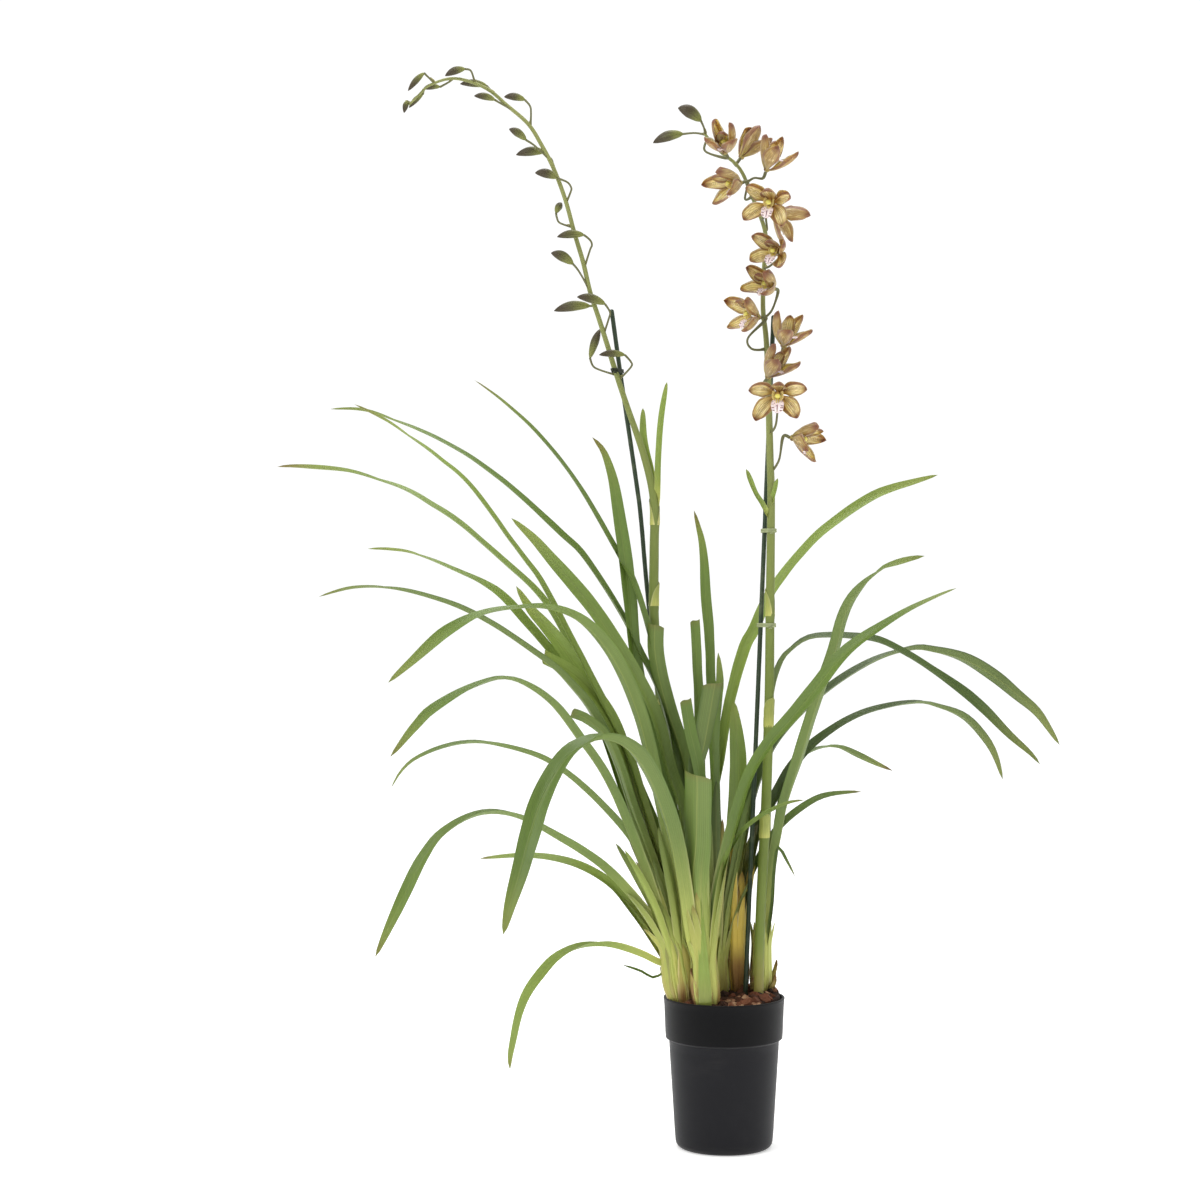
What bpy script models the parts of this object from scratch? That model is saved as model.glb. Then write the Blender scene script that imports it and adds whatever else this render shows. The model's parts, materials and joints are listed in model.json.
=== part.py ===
"""Potted cymbidium orchid, in metres, +Z up, front towards -Y.

The origin is the centre of the pot's underside. Sizes and places below are in millimetres.
Routes are written as they look from the front, level with the pot's axis, and get their depth
from the lean of the leaf or stem that they belong to.
"""

import math
import random

import bmesh
import bpy
from mathutils import Matrix, Vector

MM = 0.001
SEAT_GAP = 0.3

# The front viewpoint that routes are seen from
VIEW_DISTANCE = 2400.0
VIEW_X = -124.0
VIEW_Z = 546.0

# Pot
POT_SIDES = 28
POT_HEIGHT = 150.0
POT_RIM_RADIUS = 60.5
POT_COLLAR_FOOT_RADIUS = 58.5
POT_COLLAR_HEIGHT = 41.0
POT_WAIST_RADIUS = 55.0
POT_BASE_RADIUS = 48.5
POT_CORNER = 7.0
POT_WALL = 1.6
POT_FLOOR = 2.4
DRAIN_HOLES = 6
DRAIN_RADIUS = 4.0
DRAIN_CIRCLE = 33.0

# Bark
BARK_EDGE_TOP = 142.0
BARK_CROWN = 4.0
BARK_HEAP = 7.0
BARK_HEAP_ANGLE = math.radians(35)
BARK_CHIPS = 30
BARK_SEED = 11
CHIP_LENGTH = (8.0, 15.0)
CHIP_BREADTH = (5.0, 9.0)
CHIP_HEIGHT = (4.0, 7.0)

# Blades of leaves and petals
LEAF_THICKNESS = 1.4
BASE_SPREAD = 0.45
PETAL_THICKNESS = 1.1
LEAF_STEP = 84.0
TURN_STEP = math.radians(32)

# Bulbs: place in the bark, lean of the top, greatest radius and height of the top
BULB_FOOT = 128.0
BULB_SIDES = 9
BULB_PROFILE = (
    (0.0, 0.40), (0.16, 0.64), (0.34, 0.80), (0.54, 1.0), (0.74, 0.96), (0.90, 0.78), (1.0, 0.50),
)
BULBS = {
    "shoot_front_left": (-39.0, -11.0, -11.0, 16.0, 198.0),
    "shoot_front_middle": (-18.0, -36.0, -3.0, 12.5, 190.0),
    "shoot_rear_left": (-36.0, 18.0, -4.0, 12.0, 192.0),
    "shoot_rear_middle": (-6.0, 10.0, 0.0, 10.0, 188.0),
    "shoot_yellow": (15.5, 12.0, -1.5, 9.5, 214.0),
    "shoot_right": (36.0, 8.0, 2.0, 9.5, 200.0),
}

# Leaves of each shoot: breadth, depth of the tip, cut end, and the route from base to tip as
# (x, z, breadth seen from the front). A breadth seen is positive where the upper face shows.
LEAVES = {
    "shoot_front_left": (
        (16.0, -85.0, False, (
            (-46, 216, -8), (-57, 286, -11), (-79, 406, -14), (-104, 476, -14), (-139, 521, -10),
            (-176, 537, -4), (-214, 537, 1.5), (-244, 530, 4), (-279, 513, 12), (-310, 487, 13),
            (-336, 463, 10))),
        (14.0, -125.0, False, (
            (-62, 216, -8), (-84, 281, -9), (-114, 356, -9), (-144, 404, -9), (-174, 443, -8),
            (-212, 466, -2), (-244, 461, 4), (-289, 438, 8), (-309, 419, 12), (-334, 389, 8))),
        (12.0, -60.0, False, (
            (-66, 240, -7), (-89, 296, -7), (-124, 340, -6), (-172, 381, -5), (-224, 400, -3),
            (-264, 402, 3), (-304, 389, 3), (-322, 375, 3), (-333, 358, 3))),
        (14.0, -110.0, False, (
            (-66, 211, -9), (-84, 236, -9), (-124, 278, -8), (-169, 308, -6), (-209, 329, -2),
            (-244, 331, 2), (-279, 313, 7), (-299, 289, 10), (-319, 253, 12), (-339, 211, 11),
            (-349, 189, 8))),
        (11.0, 24.0, False, (
            (-72, 206, 8), (-94, 236, 8), (-114, 261, 8), (-149, 281, 7), (-194, 289, 4),
            (-245, 287, 3))),
        (11.0, -130.0, False, (
            (-69, 183, -8), (-84, 190, -6), (-109, 198, -5), (-126, 200, -3), (-144, 198, 3),
            (-164, 189, 7), (-179, 176, 10), (-194, 156, 10), (-204, 131, 6), (-212, 96, 6),
            (-214, 76, 4))),
        (3.0, -24.0, False, ((-70, 168, 2), (-84, 175, 2), (-102, 181, 2))),
    ),
    "shoot_front_middle": (
        (21.0, -170.0, False, (
            (-37, 206, -12), (-46, 266, -14), (-56, 316, -15), (-69, 356, -16), (-84, 384, -16),
            (-99, 399, -13), (-114, 406, -7), (-127, 406, 4), (-139, 401, 9), (-154, 391, 14),
            (-169, 371, 17), (-184, 341, 19), (-194, 311, 20), (-204, 276, 18), (-214, 241, 14),
            (-221, 211, 10))),
        (27.0, -66.0, True, (
            (-32, 206, -14), (-31, 266, -20), (-28, 306, -26), (-27, 346, -26), (-27, 370, -25))),
        (15.0, -84.0, False, (
            (-6, 240, 8), (1, 276, 9), (11, 316, 10), (26, 366, 10), (46, 401, 10), (71, 431, 12),
            (91, 456, 14), (126, 496, 10), (176, 530, 5), (206, 546, 3), (233, 558, 2))),
        (6.0, -62.0, False, (
            (-6, 262, 4), (11, 304, 4), (31, 326, 4), (61, 342, 3), (81, 346, 2))),
        (12.0, -34.0, True, (
            (-18, 290, 9), (-22, 346, 10), (-27, 386, 12), (-34, 416, 12), (-39, 446, 11))),
        (22.0, -30.0, True, (
            (-20, 300, -12), (-25, 371, -16), (-19, 406, -18), (-9, 462, -21))),
    ),
    "shoot_rear_left": (
        (13.0, 105.0, False, (
            (-54, 236, 8), (-84, 326, 8), (-109, 401, 8), (-134, 456, 7), (-159, 506, 7),
            (-184, 548, 6), (-224, 586, 5), (-264, 621, 5), (-294, 641, 5), (-324, 658, 3),
            (-374, 674, -3), (-424, 679, -6), (-447, 679, -6))),
        (12.0, 34.0, False, (
            (-40, 316, 7), (-49, 386, 7), (-64, 446, 6), (-84, 491, 5), (-104, 531, 4),
            (-139, 586, 6), (-164, 611, 7), (-204, 649, 5), (-244, 681, 4), (-284, 705, 3),
            (-324, 723, 3), (-359, 735, -5), (-394, 737, -3))),
        (11.0, -10.0, False, (
            (-52, 246, 7), (-78, 330, 7), (-99, 396, 7), (-124, 446, 7), (-154, 506, 6),
            (-184, 563, 5), (-204, 591, 4), (-254, 659, 4), (-284, 686, 3), (-314, 709, 2),
            (-339, 726, -4), (-370, 742, -4))),
        (11.0, 25.0, False, (
            (-38, 300, 7), (-46, 366, 7), (-56, 426, 7), (-69, 486, 6), (-89, 556, 6),
            (-104, 586, 6), (-144, 656, 4), (-184, 709, 4), (-224, 746, 3), (-250, 766, 3))),
        (16.0, -30.0, False, (
            (-42, 316, 11), (-56, 376, 12), (-69, 426, 12), (-84, 461, 12), (-124, 526, 14),
            (-149, 559, 14), (-174, 589, 13), (-194, 611, 12), (-213, 628, 8))),
        (12.0, 60.0, False, (
            (-56, 236, 8), (-82, 306, 8), (-104, 356, 8), (-124, 416, 9), (-144, 456, 9),
            (-184, 506, 8), (-219, 546, 10), (-239, 561, 5), (-264, 573, 3), (-306, 591, 2),
            (-334, 596, -9), (-357, 597, -8))),
        (12.0, -70.0, False, (
            (-55, 216, -8), (-74, 266, -8), (-94, 336, -8), (-114, 396, -9), (-134, 436, -10),
            (-154, 461, -8), (-184, 488, -6), (-254, 533, -5), (-324, 556, -3), (-369, 558, 4),
            (-406, 549, 4))),
        (10.0, -30.0, True, (
            (-56, 236, -8), (-88, 330, -8), (-112, 400, -9), (-134, 425, -10), (-152, 433, -9))),
        (15.0, 5.0, True, (
            (-54, 240, 8), (-84, 340, 9), (-110, 420, 11), (-144, 466, 13), (-181, 488, 13))),
        (17.0, 45.0, False, (
            (-52, 256, 9), (-80, 336, 10), (-114, 416, 12), (-134, 456, 14), (-159, 496, 16),
            (-179, 521, 14), (-194, 538, 10), (-208, 560, 5))),
        (15.0, 26.0, False, (
            (-42, 266, 10), (-60, 356, 11), (-79, 426, 12), (-87, 466, 12), (-92, 506, 12),
            (-95, 546, 14), (-99, 586, 14), (-104, 626, 13), (-111, 666, 12), (-120, 694, 9),
            (-132, 709, 6))),
        (17.0, 12.0, True, (
            (-35, 326, -11), (-38, 376, -12), (-46, 406, -13), (-56, 436, -15), (-64, 466, -16),
            (-69, 496, -16), (-69, 521, -16))),
    ),
    "shoot_rear_middle": (
        (11.0, 14.0, True, (
            (-18, 286, 9), (-24, 356, 10), (-26, 446, 10), (-28, 486, 10), (-30, 525, 10))),
        (12.0, 34.0, False, (
            (-10, 316, 9), (-12, 386, 10), (-14, 446, 10), (-16, 506, 10), (-18, 546, 11),
            (-21, 596, 11), (-26, 621, 10), (-30, 636, 6))),
        (12.0, -6.0, False, (
            (-10, 330, 9), (-11, 406, 10), (-7, 446, 11), (-4, 466, 11), (-6, 494, 8))),
        (13.0, 74.0, False, (
            (-10, 296, 10), (-9, 346, 10), (-2, 386, 10), (6, 436, 10), (21, 496, 12),
            (31, 516, 12), (49, 554, 9), (86, 601, 8), (116, 627, 9), (146, 648, 9),
            (171, 659, 8), (214, 671, 5))),
        (18.0, 6.0, False, (
            (2, 236, 10), (8, 276, 12), (13, 326, 16), (15, 366, 17), (13, 406, 15),
            (9, 446, 9))),
    ),
    "shoot_yellow": (
        (15.0, 60.0, False, (
            (15, 246, 8), (21, 296, 8), (31, 346, 8), (41, 376, 7), (56, 406, 7), (96, 448, 6),
            (146, 482, 4), (186, 496, -3), (211, 494, -6), (241, 486, -10), (271, 469, -13),
            (296, 449, -13), (316, 431, -11), (336, 401, -8))),
        (12.0, 64.0, False, (
            (20, 240, 7), (28, 276, 8), (36, 316, 9), (56, 356, 10), (71, 381, 10), (96, 406, 7),
            (141, 432, 5), (191, 443, 3), (216, 438, -5), (241, 428, -7), (261, 408, -8),
            (272, 389, -8), (279, 366, -6))),
        (9.0, 34.0, False, (
            (24, 256, 6), (44, 301, 6), (61, 324, 7), (86, 343, 6), (106, 351, 4), (138, 354, 3))),
    ),
    "shoot_right": (
        (14.0, -72.0, False, (
            (45, 236, -8), (49, 266, -8), (56, 306, -9), (64, 346, -10), (76, 386, -12),
            (91, 436, -12), (111, 496, -12), (119, 526, -12), (131, 551, -11), (154, 574, -3),
            (171, 582, 7), (186, 587, 8), (201, 590, 6))),
        (13.0, -15.0, False, (
            (46, 300, -7), (46, 406, -6), (49, 450, -6), (56, 478, -4), (66, 494, -3),
            (91, 508, 4), (146, 506, 7), (176, 494, 7), (206, 476, 7), (236, 456, 9),
            (261, 436, 12), (286, 411, 12), (306, 393, 9), (316, 381, 7))),
        (9.0, 88.0, False, (
            (48, 260, 6), (56, 330, 6), (66, 376, 5), (81, 391, 4), (101, 399, 2), (116, 398, -4),
            (131, 392, -7), (151, 383, -8), (169, 375, -6))),
        (4.0, -40.0, False, (
            (48, 236, 3), (50, 270, 3), (54, 298, 3), (60, 290, 3), (71, 269, 2))),
    ),
}

# Spikes: foot, then (x, depth, z, radius) up to the end
BUD_SPIKE_ROUTE = (
    (-21, 43, 116, 5.0), (-24, 42, 150, 5.0), (-34, 38, 215, 5.0), (-50, 36, 330, 5.0),
    (-62, 36, 440, 5.0), (-69, 36, 526, 5.0), (-69, 36, 596, 4.8), (-69, 35, 646, 4.4),
    (-79, 35, 691, 3.6), (-96, 35, 741, 3.0), (-107, 35, 774, 2.8), (-117, 34, 806, 2.6),
    (-126, 33, 834, 2.5), (-134, 32, 858, 2.4), (-141, 32, 888, 2.4), (-150, 31, 918, 2.3),
    (-159, 30, 951, 2.2), (-171, 30, 983, 2.2), (-184, 29, 1008, 2.1), (-197, 28, 1028, 2.0),
    (-219, 27, 1047, 1.9), (-234, 26, 1060, 1.8), (-252, 26, 1069, 1.7), (-274, 25, 1073, 1.5),
    (-296, 24, 1066, 1.3), (-306, 24, 1057, 1.2), (-317, 24, 1046, 1.1),
)
BLOOM_SPIKE_ROUTE = (
    (33, -16, 116, 5.0), (34, -16, 186, 5.0), (36, -16, 246, 5.0), (41, -16, 346, 5.0),
    (44, -16, 446, 4.7), (45, -16, 546, 4.4), (46, -16, 646, 3.9), (45, -16, 686, 3.6),
    (43, -16, 766, 3.1), (41, -16, 806, 2.7), (38, -15, 836, 2.4), (39, -15, 876, 2.2),
    (41, -14, 906, 2.1), (35, -14, 929, 2.0), (26, -13, 950, 1.9), (19, -13, 968, 1.8),
    (11, -12, 980, 1.7), (-4, -12, 992, 1.6), (-16, -12, 1005, 1.5), (-20, -12, 1010, 1.4),
)
SPIKE_SIDES = 6
PEDICEL_SIDES = 4

# Buds: pedicel route from the stem, as (x, z) seen from the front, then the bud's tip, its
# greatest breadth, and how far it stands off in depth
BUDS = (
    (((-101, 770), (-93, 779), (-93, 784), (-99, 791)), (-125, 791), 7.0, -9.0),
    (((-106, 774), (-124, 776), (-131, 780), (-134, 788)), (-124, 817), 8.0, 8.0),
    (((-119, 816), (-115, 828), (-114, 834), (-119, 842)), (-147, 849), 9.0, -8.0),
    (((-122, 826), (-129, 838), (-134, 840)), (-170, 835), 10.0, 9.0),
    (((-134, 858), (-140, 866), (-146, 876), (-151, 882)), (-173, 893), 10.0, -7.0),
    (((-140, 884), (-134, 896), (-132, 901), (-134, 906), (-140, 911)), (-167, 909), 8.0, -9.0),
    (((-152, 922), (-164, 923), (-167, 928), (-168, 933)), (-162, 943), 7.0, 8.0),
    (((-158, 948), (-153, 955), (-153, 959), (-157, 964), (-167, 968)), (-189, 973), 9.0, -8.0),
    (((-171, 982), (-172, 986), (-176, 990), (-179, 994)), (-208, 991), 9.0, 8.0),
    (((-176, 992), (-189, 1000), (-198, 1006)), (-215, 1017), 8.0, -7.0),
    (((-194, 1024), (-193, 1033), (-194, 1040), (-199, 1046)), (-220, 1049), 7.5, 7.0),
    (((-212, 1040), (-224, 1043), (-229, 1046)), (-250, 1050), 7.0, -7.0),
    (((-232, 1057), (-237, 1060)), (-264, 1062), 7.5, 8.0),
    (((-250, 1068), (-253, 1075), (-259, 1077)), (-279, 1070), 7.5, -6.0),
    (((-272, 1072), (-275, 1064), (-284, 1059)), (-301, 1057), 6.0, 6.0),
    (((-292, 1068), (-300, 1073)), (-316, 1055), 6.0, -6.0),
    (((-302, 1062), (-301, 1052)), (-315, 1038), 5.5, 6.0),
    (((-316, 1047), (-317, 1045)), (-320, 1033), 5.5, 0.0),
)
BLOOM_SPIKE_BUDS = (
    (((-20, 1009), (-20, 1018), (-23, 1025)), (-46, 1038), 12.0, -6.0),
    (((-19, 1009), (-29, 1013), (-41, 1012)), (-71, 1003), 10.0, 7.0),
)

# Bracts: breadth, depth of the tip and route from the stem as (x, z, breadth seen)
BUD_SPIKE_BRACTS = (
    (8.0, 20.0, ((-67, 640, 6), (-65, 666, 6), (-64, 696, 6), (-62, 726, 6), (-57, 764, 4))),
    (9.0, 46.0, ((-70, 652, 7), (-75, 676, 8), (-80, 698, 8), (-82, 716, 7), (-81, 738, 4))),
)
BLOOM_SPIKE_BRACTS = (
    (7.0, -28.0, ((45, 628, 5), (37, 642, 5), (30, 654, 5), (22, 677, 4))),
    (6.0, -28.0, ((47, 640, 4), (51, 654, 4), (54, 668, 3))),
)

# Blooms: hub (x, z), depth beside the stem, facing (degrees right of the front, degrees up),
# turn about the face, how far the petals close, and the route of the pedicel from the stem
BLOOMS = (
    ((1, 995), -18.0, (-12, 32), -10, 0.85, ((-17, 1005), (-19, 995), (-10, 989))),
    ((18, 990), 17.0, (110, 54), 10, 0.85, ((8, 983), (12, 980), (16, 983))),
    ((43, 977), -4.0, (54, 60), -8, 0.62, ((22, 961), (30, 968), (38, 973))),
    ((15, 963), -22.0, (-64, -8), 14, 0.55, ((27, 946), (21, 947), (17, 954))),
    ((47, 942), -24.0, (-16, -4), -10, 0.34, ((37, 924), (40, 929), (44, 936))),
    ((51, 930), 14.0, (108, -14), 12, 0.36, ((39, 914), (43, 917), (48, 922))),
    ((54, 893), -22.0, (-30, 2), -18, 0.55, ((40, 876), (46, 880), (51, 886))),
    ((48, 858), -13.0, (-42, 14), -14, 0.70, ((41, 826), (48, 836), (50, 848))),
    ((33, 829), -14.0, (-66, 10), -6, 0.36, ((40, 795), (28, 797), (24, 808), (30, 820))),
    ((60, 801), -14.0, (30, 58), 4, 0.60, ((44, 786), (50, 788), (56, 793))),
    ((45, 770), -18.0, (40, 46), -4, 0.78, ((43, 746), (44, 752), (45, 760))),
    ((54, 751), -27.0, (-6, -12), -2, 0.16, ((46, 712), (52, 722), (55, 736))),
    ((69, 708), -6.0, (72, -8), -14, 0.42, ((46, 671), (55, 686), (62, 700))),
)
PETAL_LENGTH = 35.0
PETAL_BREADTH = 13.0
SEPAL_LENGTH = 32.0
SEPAL_BREADTH = 15.0
PETAL_STATIONS = (0.0, 0.22, 0.52, 0.84, 1.0)
LIP_LENGTH = 22.0
LIP_BREADTH = 11.0
COLUMN_LENGTH = 12.0
COLUMN_RADIUS = 2.3
HUB_RADIUS = 3.6
HUB_FACE = 1.2
PEDICEL_RADIUS = 1.5
OVARY_LENGTH = 7.0
LOBE_HEIGHT = 9.5
LOBE_BREADTH = 7.0
LOBE_FORWARD = 6.5
LOBE_OUT = 2.6
BUD_FULLNESS = 1.12

# Stakes: (x, depth, z) from the foot to the top
STAKE_RADIUS = 2.3
STAKE_SIDES = 8
STAKES = {
    "stake_left": (
        (-22, 34, 24), (-33, 39, 135), (-36, 40, 161), (-73, 45, 526), (-82, 45, 626),
        (-87, 45, 666), (-102, 45, 768), (-112, 45, 840),
    ),
    "stake_right": ((16, -6, 24), (21, -6, 154), (35, -6, 490), (49, -6, 828)),
}

# Ties: height and radial thickness of each band, and the stem and stake that it holds
TIE_BAND = 4.0
TIE_THICKNESS = 1.3
TIE_SIDES = 18
TIES = {
    "tie_left": (779.0, "bud", "stake_left"),
    "tie_right_lower": (521.0, "bloom", "stake_right"),
    "tie_right_upper": (615.0, "bloom", "stake_right"),
}


def clear_scene():
    for old in list(bpy.data.objects):
        bpy.data.objects.remove(old, do_unlink=True)


def material(name, color, roughness, metallic=0.0):
    made = bpy.data.materials.new(name)
    made.use_nodes = True
    shader = made.node_tree.nodes["Principled BSDF"]
    shader.inputs["Base Color"].default_value = (*color, 1.0)
    shader.inputs["Roughness"].default_value = roughness
    shader.inputs["Metallic"].default_value = metallic
    return made


def closed_mesh(name, corners, faces):
    """A mesh in metres from corners in millimetres, in triangles that face outwards."""
    mesh = bpy.data.meshes.new(name)
    mesh.from_pydata([Vector(corner) * MM for corner in corners], [], faces)
    edit = bmesh.new()
    edit.from_mesh(mesh)
    bmesh.ops.triangulate(edit, faces=edit.faces[:])
    bmesh.ops.recalc_face_normals(edit, faces=edit.faces[:])
    if edit.calc_volume(signed=True) < 0.0:
        bmesh.ops.reverse_faces(edit, faces=edit.faces[:])
    edit.to_mesh(mesh)
    edit.free()
    return mesh


def place(name, mesh, finish, smooth=math.radians(50)):
    made = bpy.data.objects.new(name, mesh)
    bpy.context.scene.collection.objects.link(made)
    mesh.materials.clear()
    mesh.materials.append(finish)
    mesh.shade_smooth()
    mesh.set_sharp_from_angle(angle=smooth)
    return made


def islands_of(edit):
    """The faces of a bmesh, grouped into bodies that hold together."""
    left = set(edit.faces)
    groups = []
    while left:
        start = left.pop()
        group = [start]
        for face in group:
            for edge in face.edges:
                for near in edge.link_faces:
                    if near in left:
                        left.remove(near)
                        group.append(near)
        groups.append(group)
    return groups


def signed_volume(group):
    total = 0.0
    for face in group:
        first, second, third = (corner.co for corner in face.verts)
        total += first.dot(second.cross(third)) / 6.0
    return total


def keep_one_body(mesh):
    """Drops loose scraps and fills sealed hollows: only the largest body stays."""
    edit = bmesh.new()
    edit.from_mesh(mesh)
    bmesh.ops.triangulate(edit, faces=edit.faces[:])
    groups = islands_of(edit)
    largest = max(groups, key=signed_volume)
    scraps = [face for group in groups if group is not largest for face in group]
    bmesh.ops.delete(edit, geom=scraps, context="FACES")
    bmesh.ops.dissolve_degenerate(edit, dist=1e-6, edges=edit.edges[:])
    bmesh.ops.triangulate(edit, faces=edit.faces[:])
    edit.to_mesh(mesh)
    edit.free()


def combined(name, mesh, others, operation):
    """One mesh: the first, joined to the others or cut by them."""
    base = bpy.data.objects.new(name, mesh)
    bpy.context.scene.collection.objects.link(base)
    tools = bpy.data.collections.new(name + "_tools")
    bpy.context.scene.collection.children.link(tools)
    for index, other in enumerate(others):
        tool = bpy.data.objects.new(f"{name}_tool_{index}", other)
        tool.hide_render = True
        tool.display_type = "WIRE"
        tools.objects.link(tool)
    cut = base.modifiers.new("combine", "BOOLEAN")
    cut.operation = operation
    cut.operand_type = "COLLECTION"
    cut.collection = tools
    cut.solver = "MANIFOLD"
    graph = bpy.context.evaluated_depsgraph_get()
    result = bpy.data.meshes.new_from_object(base.evaluated_get(graph))
    for tool in list(tools.objects):
        bpy.data.objects.remove(tool, do_unlink=True)
    bpy.data.collections.remove(tools)
    bpy.data.objects.remove(base, do_unlink=True)
    keep_one_body(result)
    return result


def seen_at(x, z, depth):
    """The point at this depth that the front view shows at (x, z)."""
    scale = (VIEW_DISTANCE + depth) / VIEW_DISTANCE
    return Vector((VIEW_X + (x - VIEW_X) * scale, depth, VIEW_Z + (z - VIEW_Z) * scale))


def smoothed(points, per_span=6):
    """Points of any dimension along a smooth curve through the given ones."""
    ends = [points[0], *points, points[-1]]
    curve = []
    for before, start, end, after in zip(ends, ends[1:], ends[2:], ends[3:]):
        for step in range(per_span):
            t = step / per_span
            curve.append(tuple(
                0.5 * (2 * b + (c - a) * t + (2 * a - 5 * b + 4 * c - d) * t ** 2
                       + (3 * b - a - 3 * c + d) * t ** 3)
                for a, b, c, d in zip(before, start, end, after)
            ))
    curve.append(tuple(points[-1]))
    return curve


def stations(curve, step, turn_step):
    """Samples of the curve, nearer together where it turns, each with its share of the length."""
    places = [Vector(point[:3]) for point in curve]
    lengths = [0.0]
    weights = [0.0]
    for index in range(1, len(places)):
        span = places[index] - places[index - 1]
        turn = 0.0
        if index + 1 < len(places):
            onward = places[index + 1] - places[index]
            if span.length > 1e-6 and onward.length > 1e-6:
                turn = span.angle(onward)
        lengths.append(lengths[-1] + span.length)
        weights.append(weights[-1] + span.length / step + turn / turn_step)
    count = max(3, round(weights[-1]))
    samples = []
    index = 0
    for number in range(count + 1):
        wanted = weights[-1] * number / count
        while index + 2 < len(weights) and weights[index + 1] < wanted:
            index += 1
        gap = weights[index + 1] - weights[index]
        t = min(1.0, max(0.0, (wanted - weights[index]) / gap)) if gap > 1e-9 else 0.0
        sample = tuple(a + (b - a) * t for a, b in zip(curve[index], curve[index + 1]))
        length = lengths[index] + (lengths[index + 1] - lengths[index]) * t
        samples.append((sample, length / lengths[-1]))
    return samples


def ribbon(name, frames, thickness, cut_end=False):
    """A keeled blade. Each frame is its middle, half its breadth as a vector, the direction of
    its upper face, and how far its margins stand above the keel."""
    corners = []
    faces = []
    rings = frames if cut_end else frames[:-1]
    for middle, across, up, fold in rings:
        corners += [
            middle - across + up * fold,
            middle + up * (thickness / 2),
            middle + across + up * fold,
            middle - up * (thickness / 2),
        ]
    for ring in range(len(rings) - 1):
        low = 4 * ring
        high = low + 4
        for edge in (0, 2):
            for keel in (1, 3):
                faces += [
                    (low + edge, high + keel, high + edge),
                    (low + edge, low + keel, high + keel),
                ]
    last = 4 * (len(rings) - 1)
    faces += [(0, 1, 3), (2, 3, 1)]
    if cut_end:
        faces += [(last, last + 1, last + 3), (last + 2, last + 3, last + 1)]
    else:
        tip = len(corners)
        corners.append(frames[-1][0])
        for edge in (0, 2):
            for keel in (1, 3):
                faces.append((last + edge, last + keel, tip))
    return closed_mesh(name, corners, faces)


def leaf_breadth(share, breadth, cut_end):
    """Breadth along a strap leaf: narrow foot, parallel middle, long point."""
    foot = 0.62 + 0.38 * math.sin(math.pi / 2 * min(1.0, share / 0.35))
    if cut_end or share < 0.68:
        return breadth * foot
    return breadth * max(0.10, math.cos(math.pi / 2 * (share - 0.68) / 0.32) ** 0.7)


def blade_frames(curve, breadth, side, cut_end, breadth_at=leaf_breadth, keel=0.30):
    """Frames for a ribbon whose curve holds (x, y, z, breadth seen from the front)."""
    samples = stations(curve, LEAF_STEP, TURN_STEP)
    frames = []
    roll = 0.0
    for index, (sample, share) in enumerate(samples):
        ahead = Vector(samples[min(index + 1, len(samples) - 1)][0][:3])
        behind = Vector(samples[max(index - 1, 0)][0][:3])
        along = (ahead - behind).normalized()
        depth = Vector((0.0, 1.0, 0.0))
        level = (depth - along * depth.dot(along)).normalized()
        upper = level.cross(along) * -side
        full = breadth_at(share, breadth, cut_end)
        if share < 0.93:
            roll = math.asin(max(-1.0, min(1.0, sample[3] / full)))
        across = level * math.cos(roll) + upper * math.sin(roll)
        up = upper * math.cos(roll) - level * math.sin(roll)
        fold = full * (keel * (1.0 - share) ** 2 + 0.09)
        frames.append((Vector(sample[:3]), across * (full / 2), up, fold))
    return frames


def leaf(name, shoot, breadth, tip_depth, cut_end, route):
    """One leaf from inside its bulb to its tip."""
    foot_x, foot_y, lean, radius, top = BULBS[shoot]
    lengths = [0.0]
    head_x = foot_x + lean * 0.75
    outward = max(-1.0, min(1.0, (route[0][0] - head_x) / 24.0)) * radius * BASE_SPREAD
    foot_y += max(-1.0, min(1.0, (tip_depth - foot_y) / 60.0)) * radius * BASE_SPREAD
    picture = [(head_x + outward, top - 20.0)] + [(x, z) for x, z, _ in route]
    for (x0, z0), (x1, z1) in zip(picture, picture[1:]):
        lengths.append(lengths[-1] + math.hypot(x1 - x0, z1 - z0))
    points = []
    for (x, z), length, seen in zip(picture, lengths, [route[0][2]] + [p[2] for p in route]):
        depth = foot_y + (tip_depth - foot_y) * (length / lengths[-1]) ** 1.5
        points.append((*seen_at(x, z, depth), seen))
    side = 1.0 if route[-1][0] > foot_x else -1.0
    frames = blade_frames(smoothed(points), breadth, side, cut_end)
    return ribbon(name, frames, LEAF_THICKNESS, cut_end)


def tube(name, path, sides, tip=False):
    """A round tube through (point, radius) pairs, closed at both ends; a tip ends in a point."""
    corners = []
    faces = []
    side = None
    rings = path[:-1] if tip else path
    for index, (middle, radius) in enumerate(rings):
        ahead = path[min(index + 1, len(path) - 1)][0]
        behind = path[max(index - 1, 0)][0]
        along = (ahead - behind).normalized()
        if side is None:
            side = along.orthogonal().normalized()
        side = (side - along * side.dot(along)).normalized()
        other = along.cross(side)
        for step in range(sides):
            angle = math.tau * step / sides
            corners.append(middle + (side * math.cos(angle) + other * math.sin(angle)) * radius)
    for ring in range(len(rings) - 1):
        for step in range(sides):
            here = ring * sides + step
            near = ring * sides + (step + 1) % sides
            faces.append((here, near, near + sides, here + sides))
    faces.append(tuple(range(sides)))
    last = (len(rings) - 1) * sides
    if tip:
        corners.append(path[-1][0])
        faces += [(last + s, last + (s + 1) % sides, len(corners) - 1) for s in range(sides)]
    else:
        faces.append(tuple(range(last, last + sides)))
    return closed_mesh(name, corners, faces)


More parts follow.
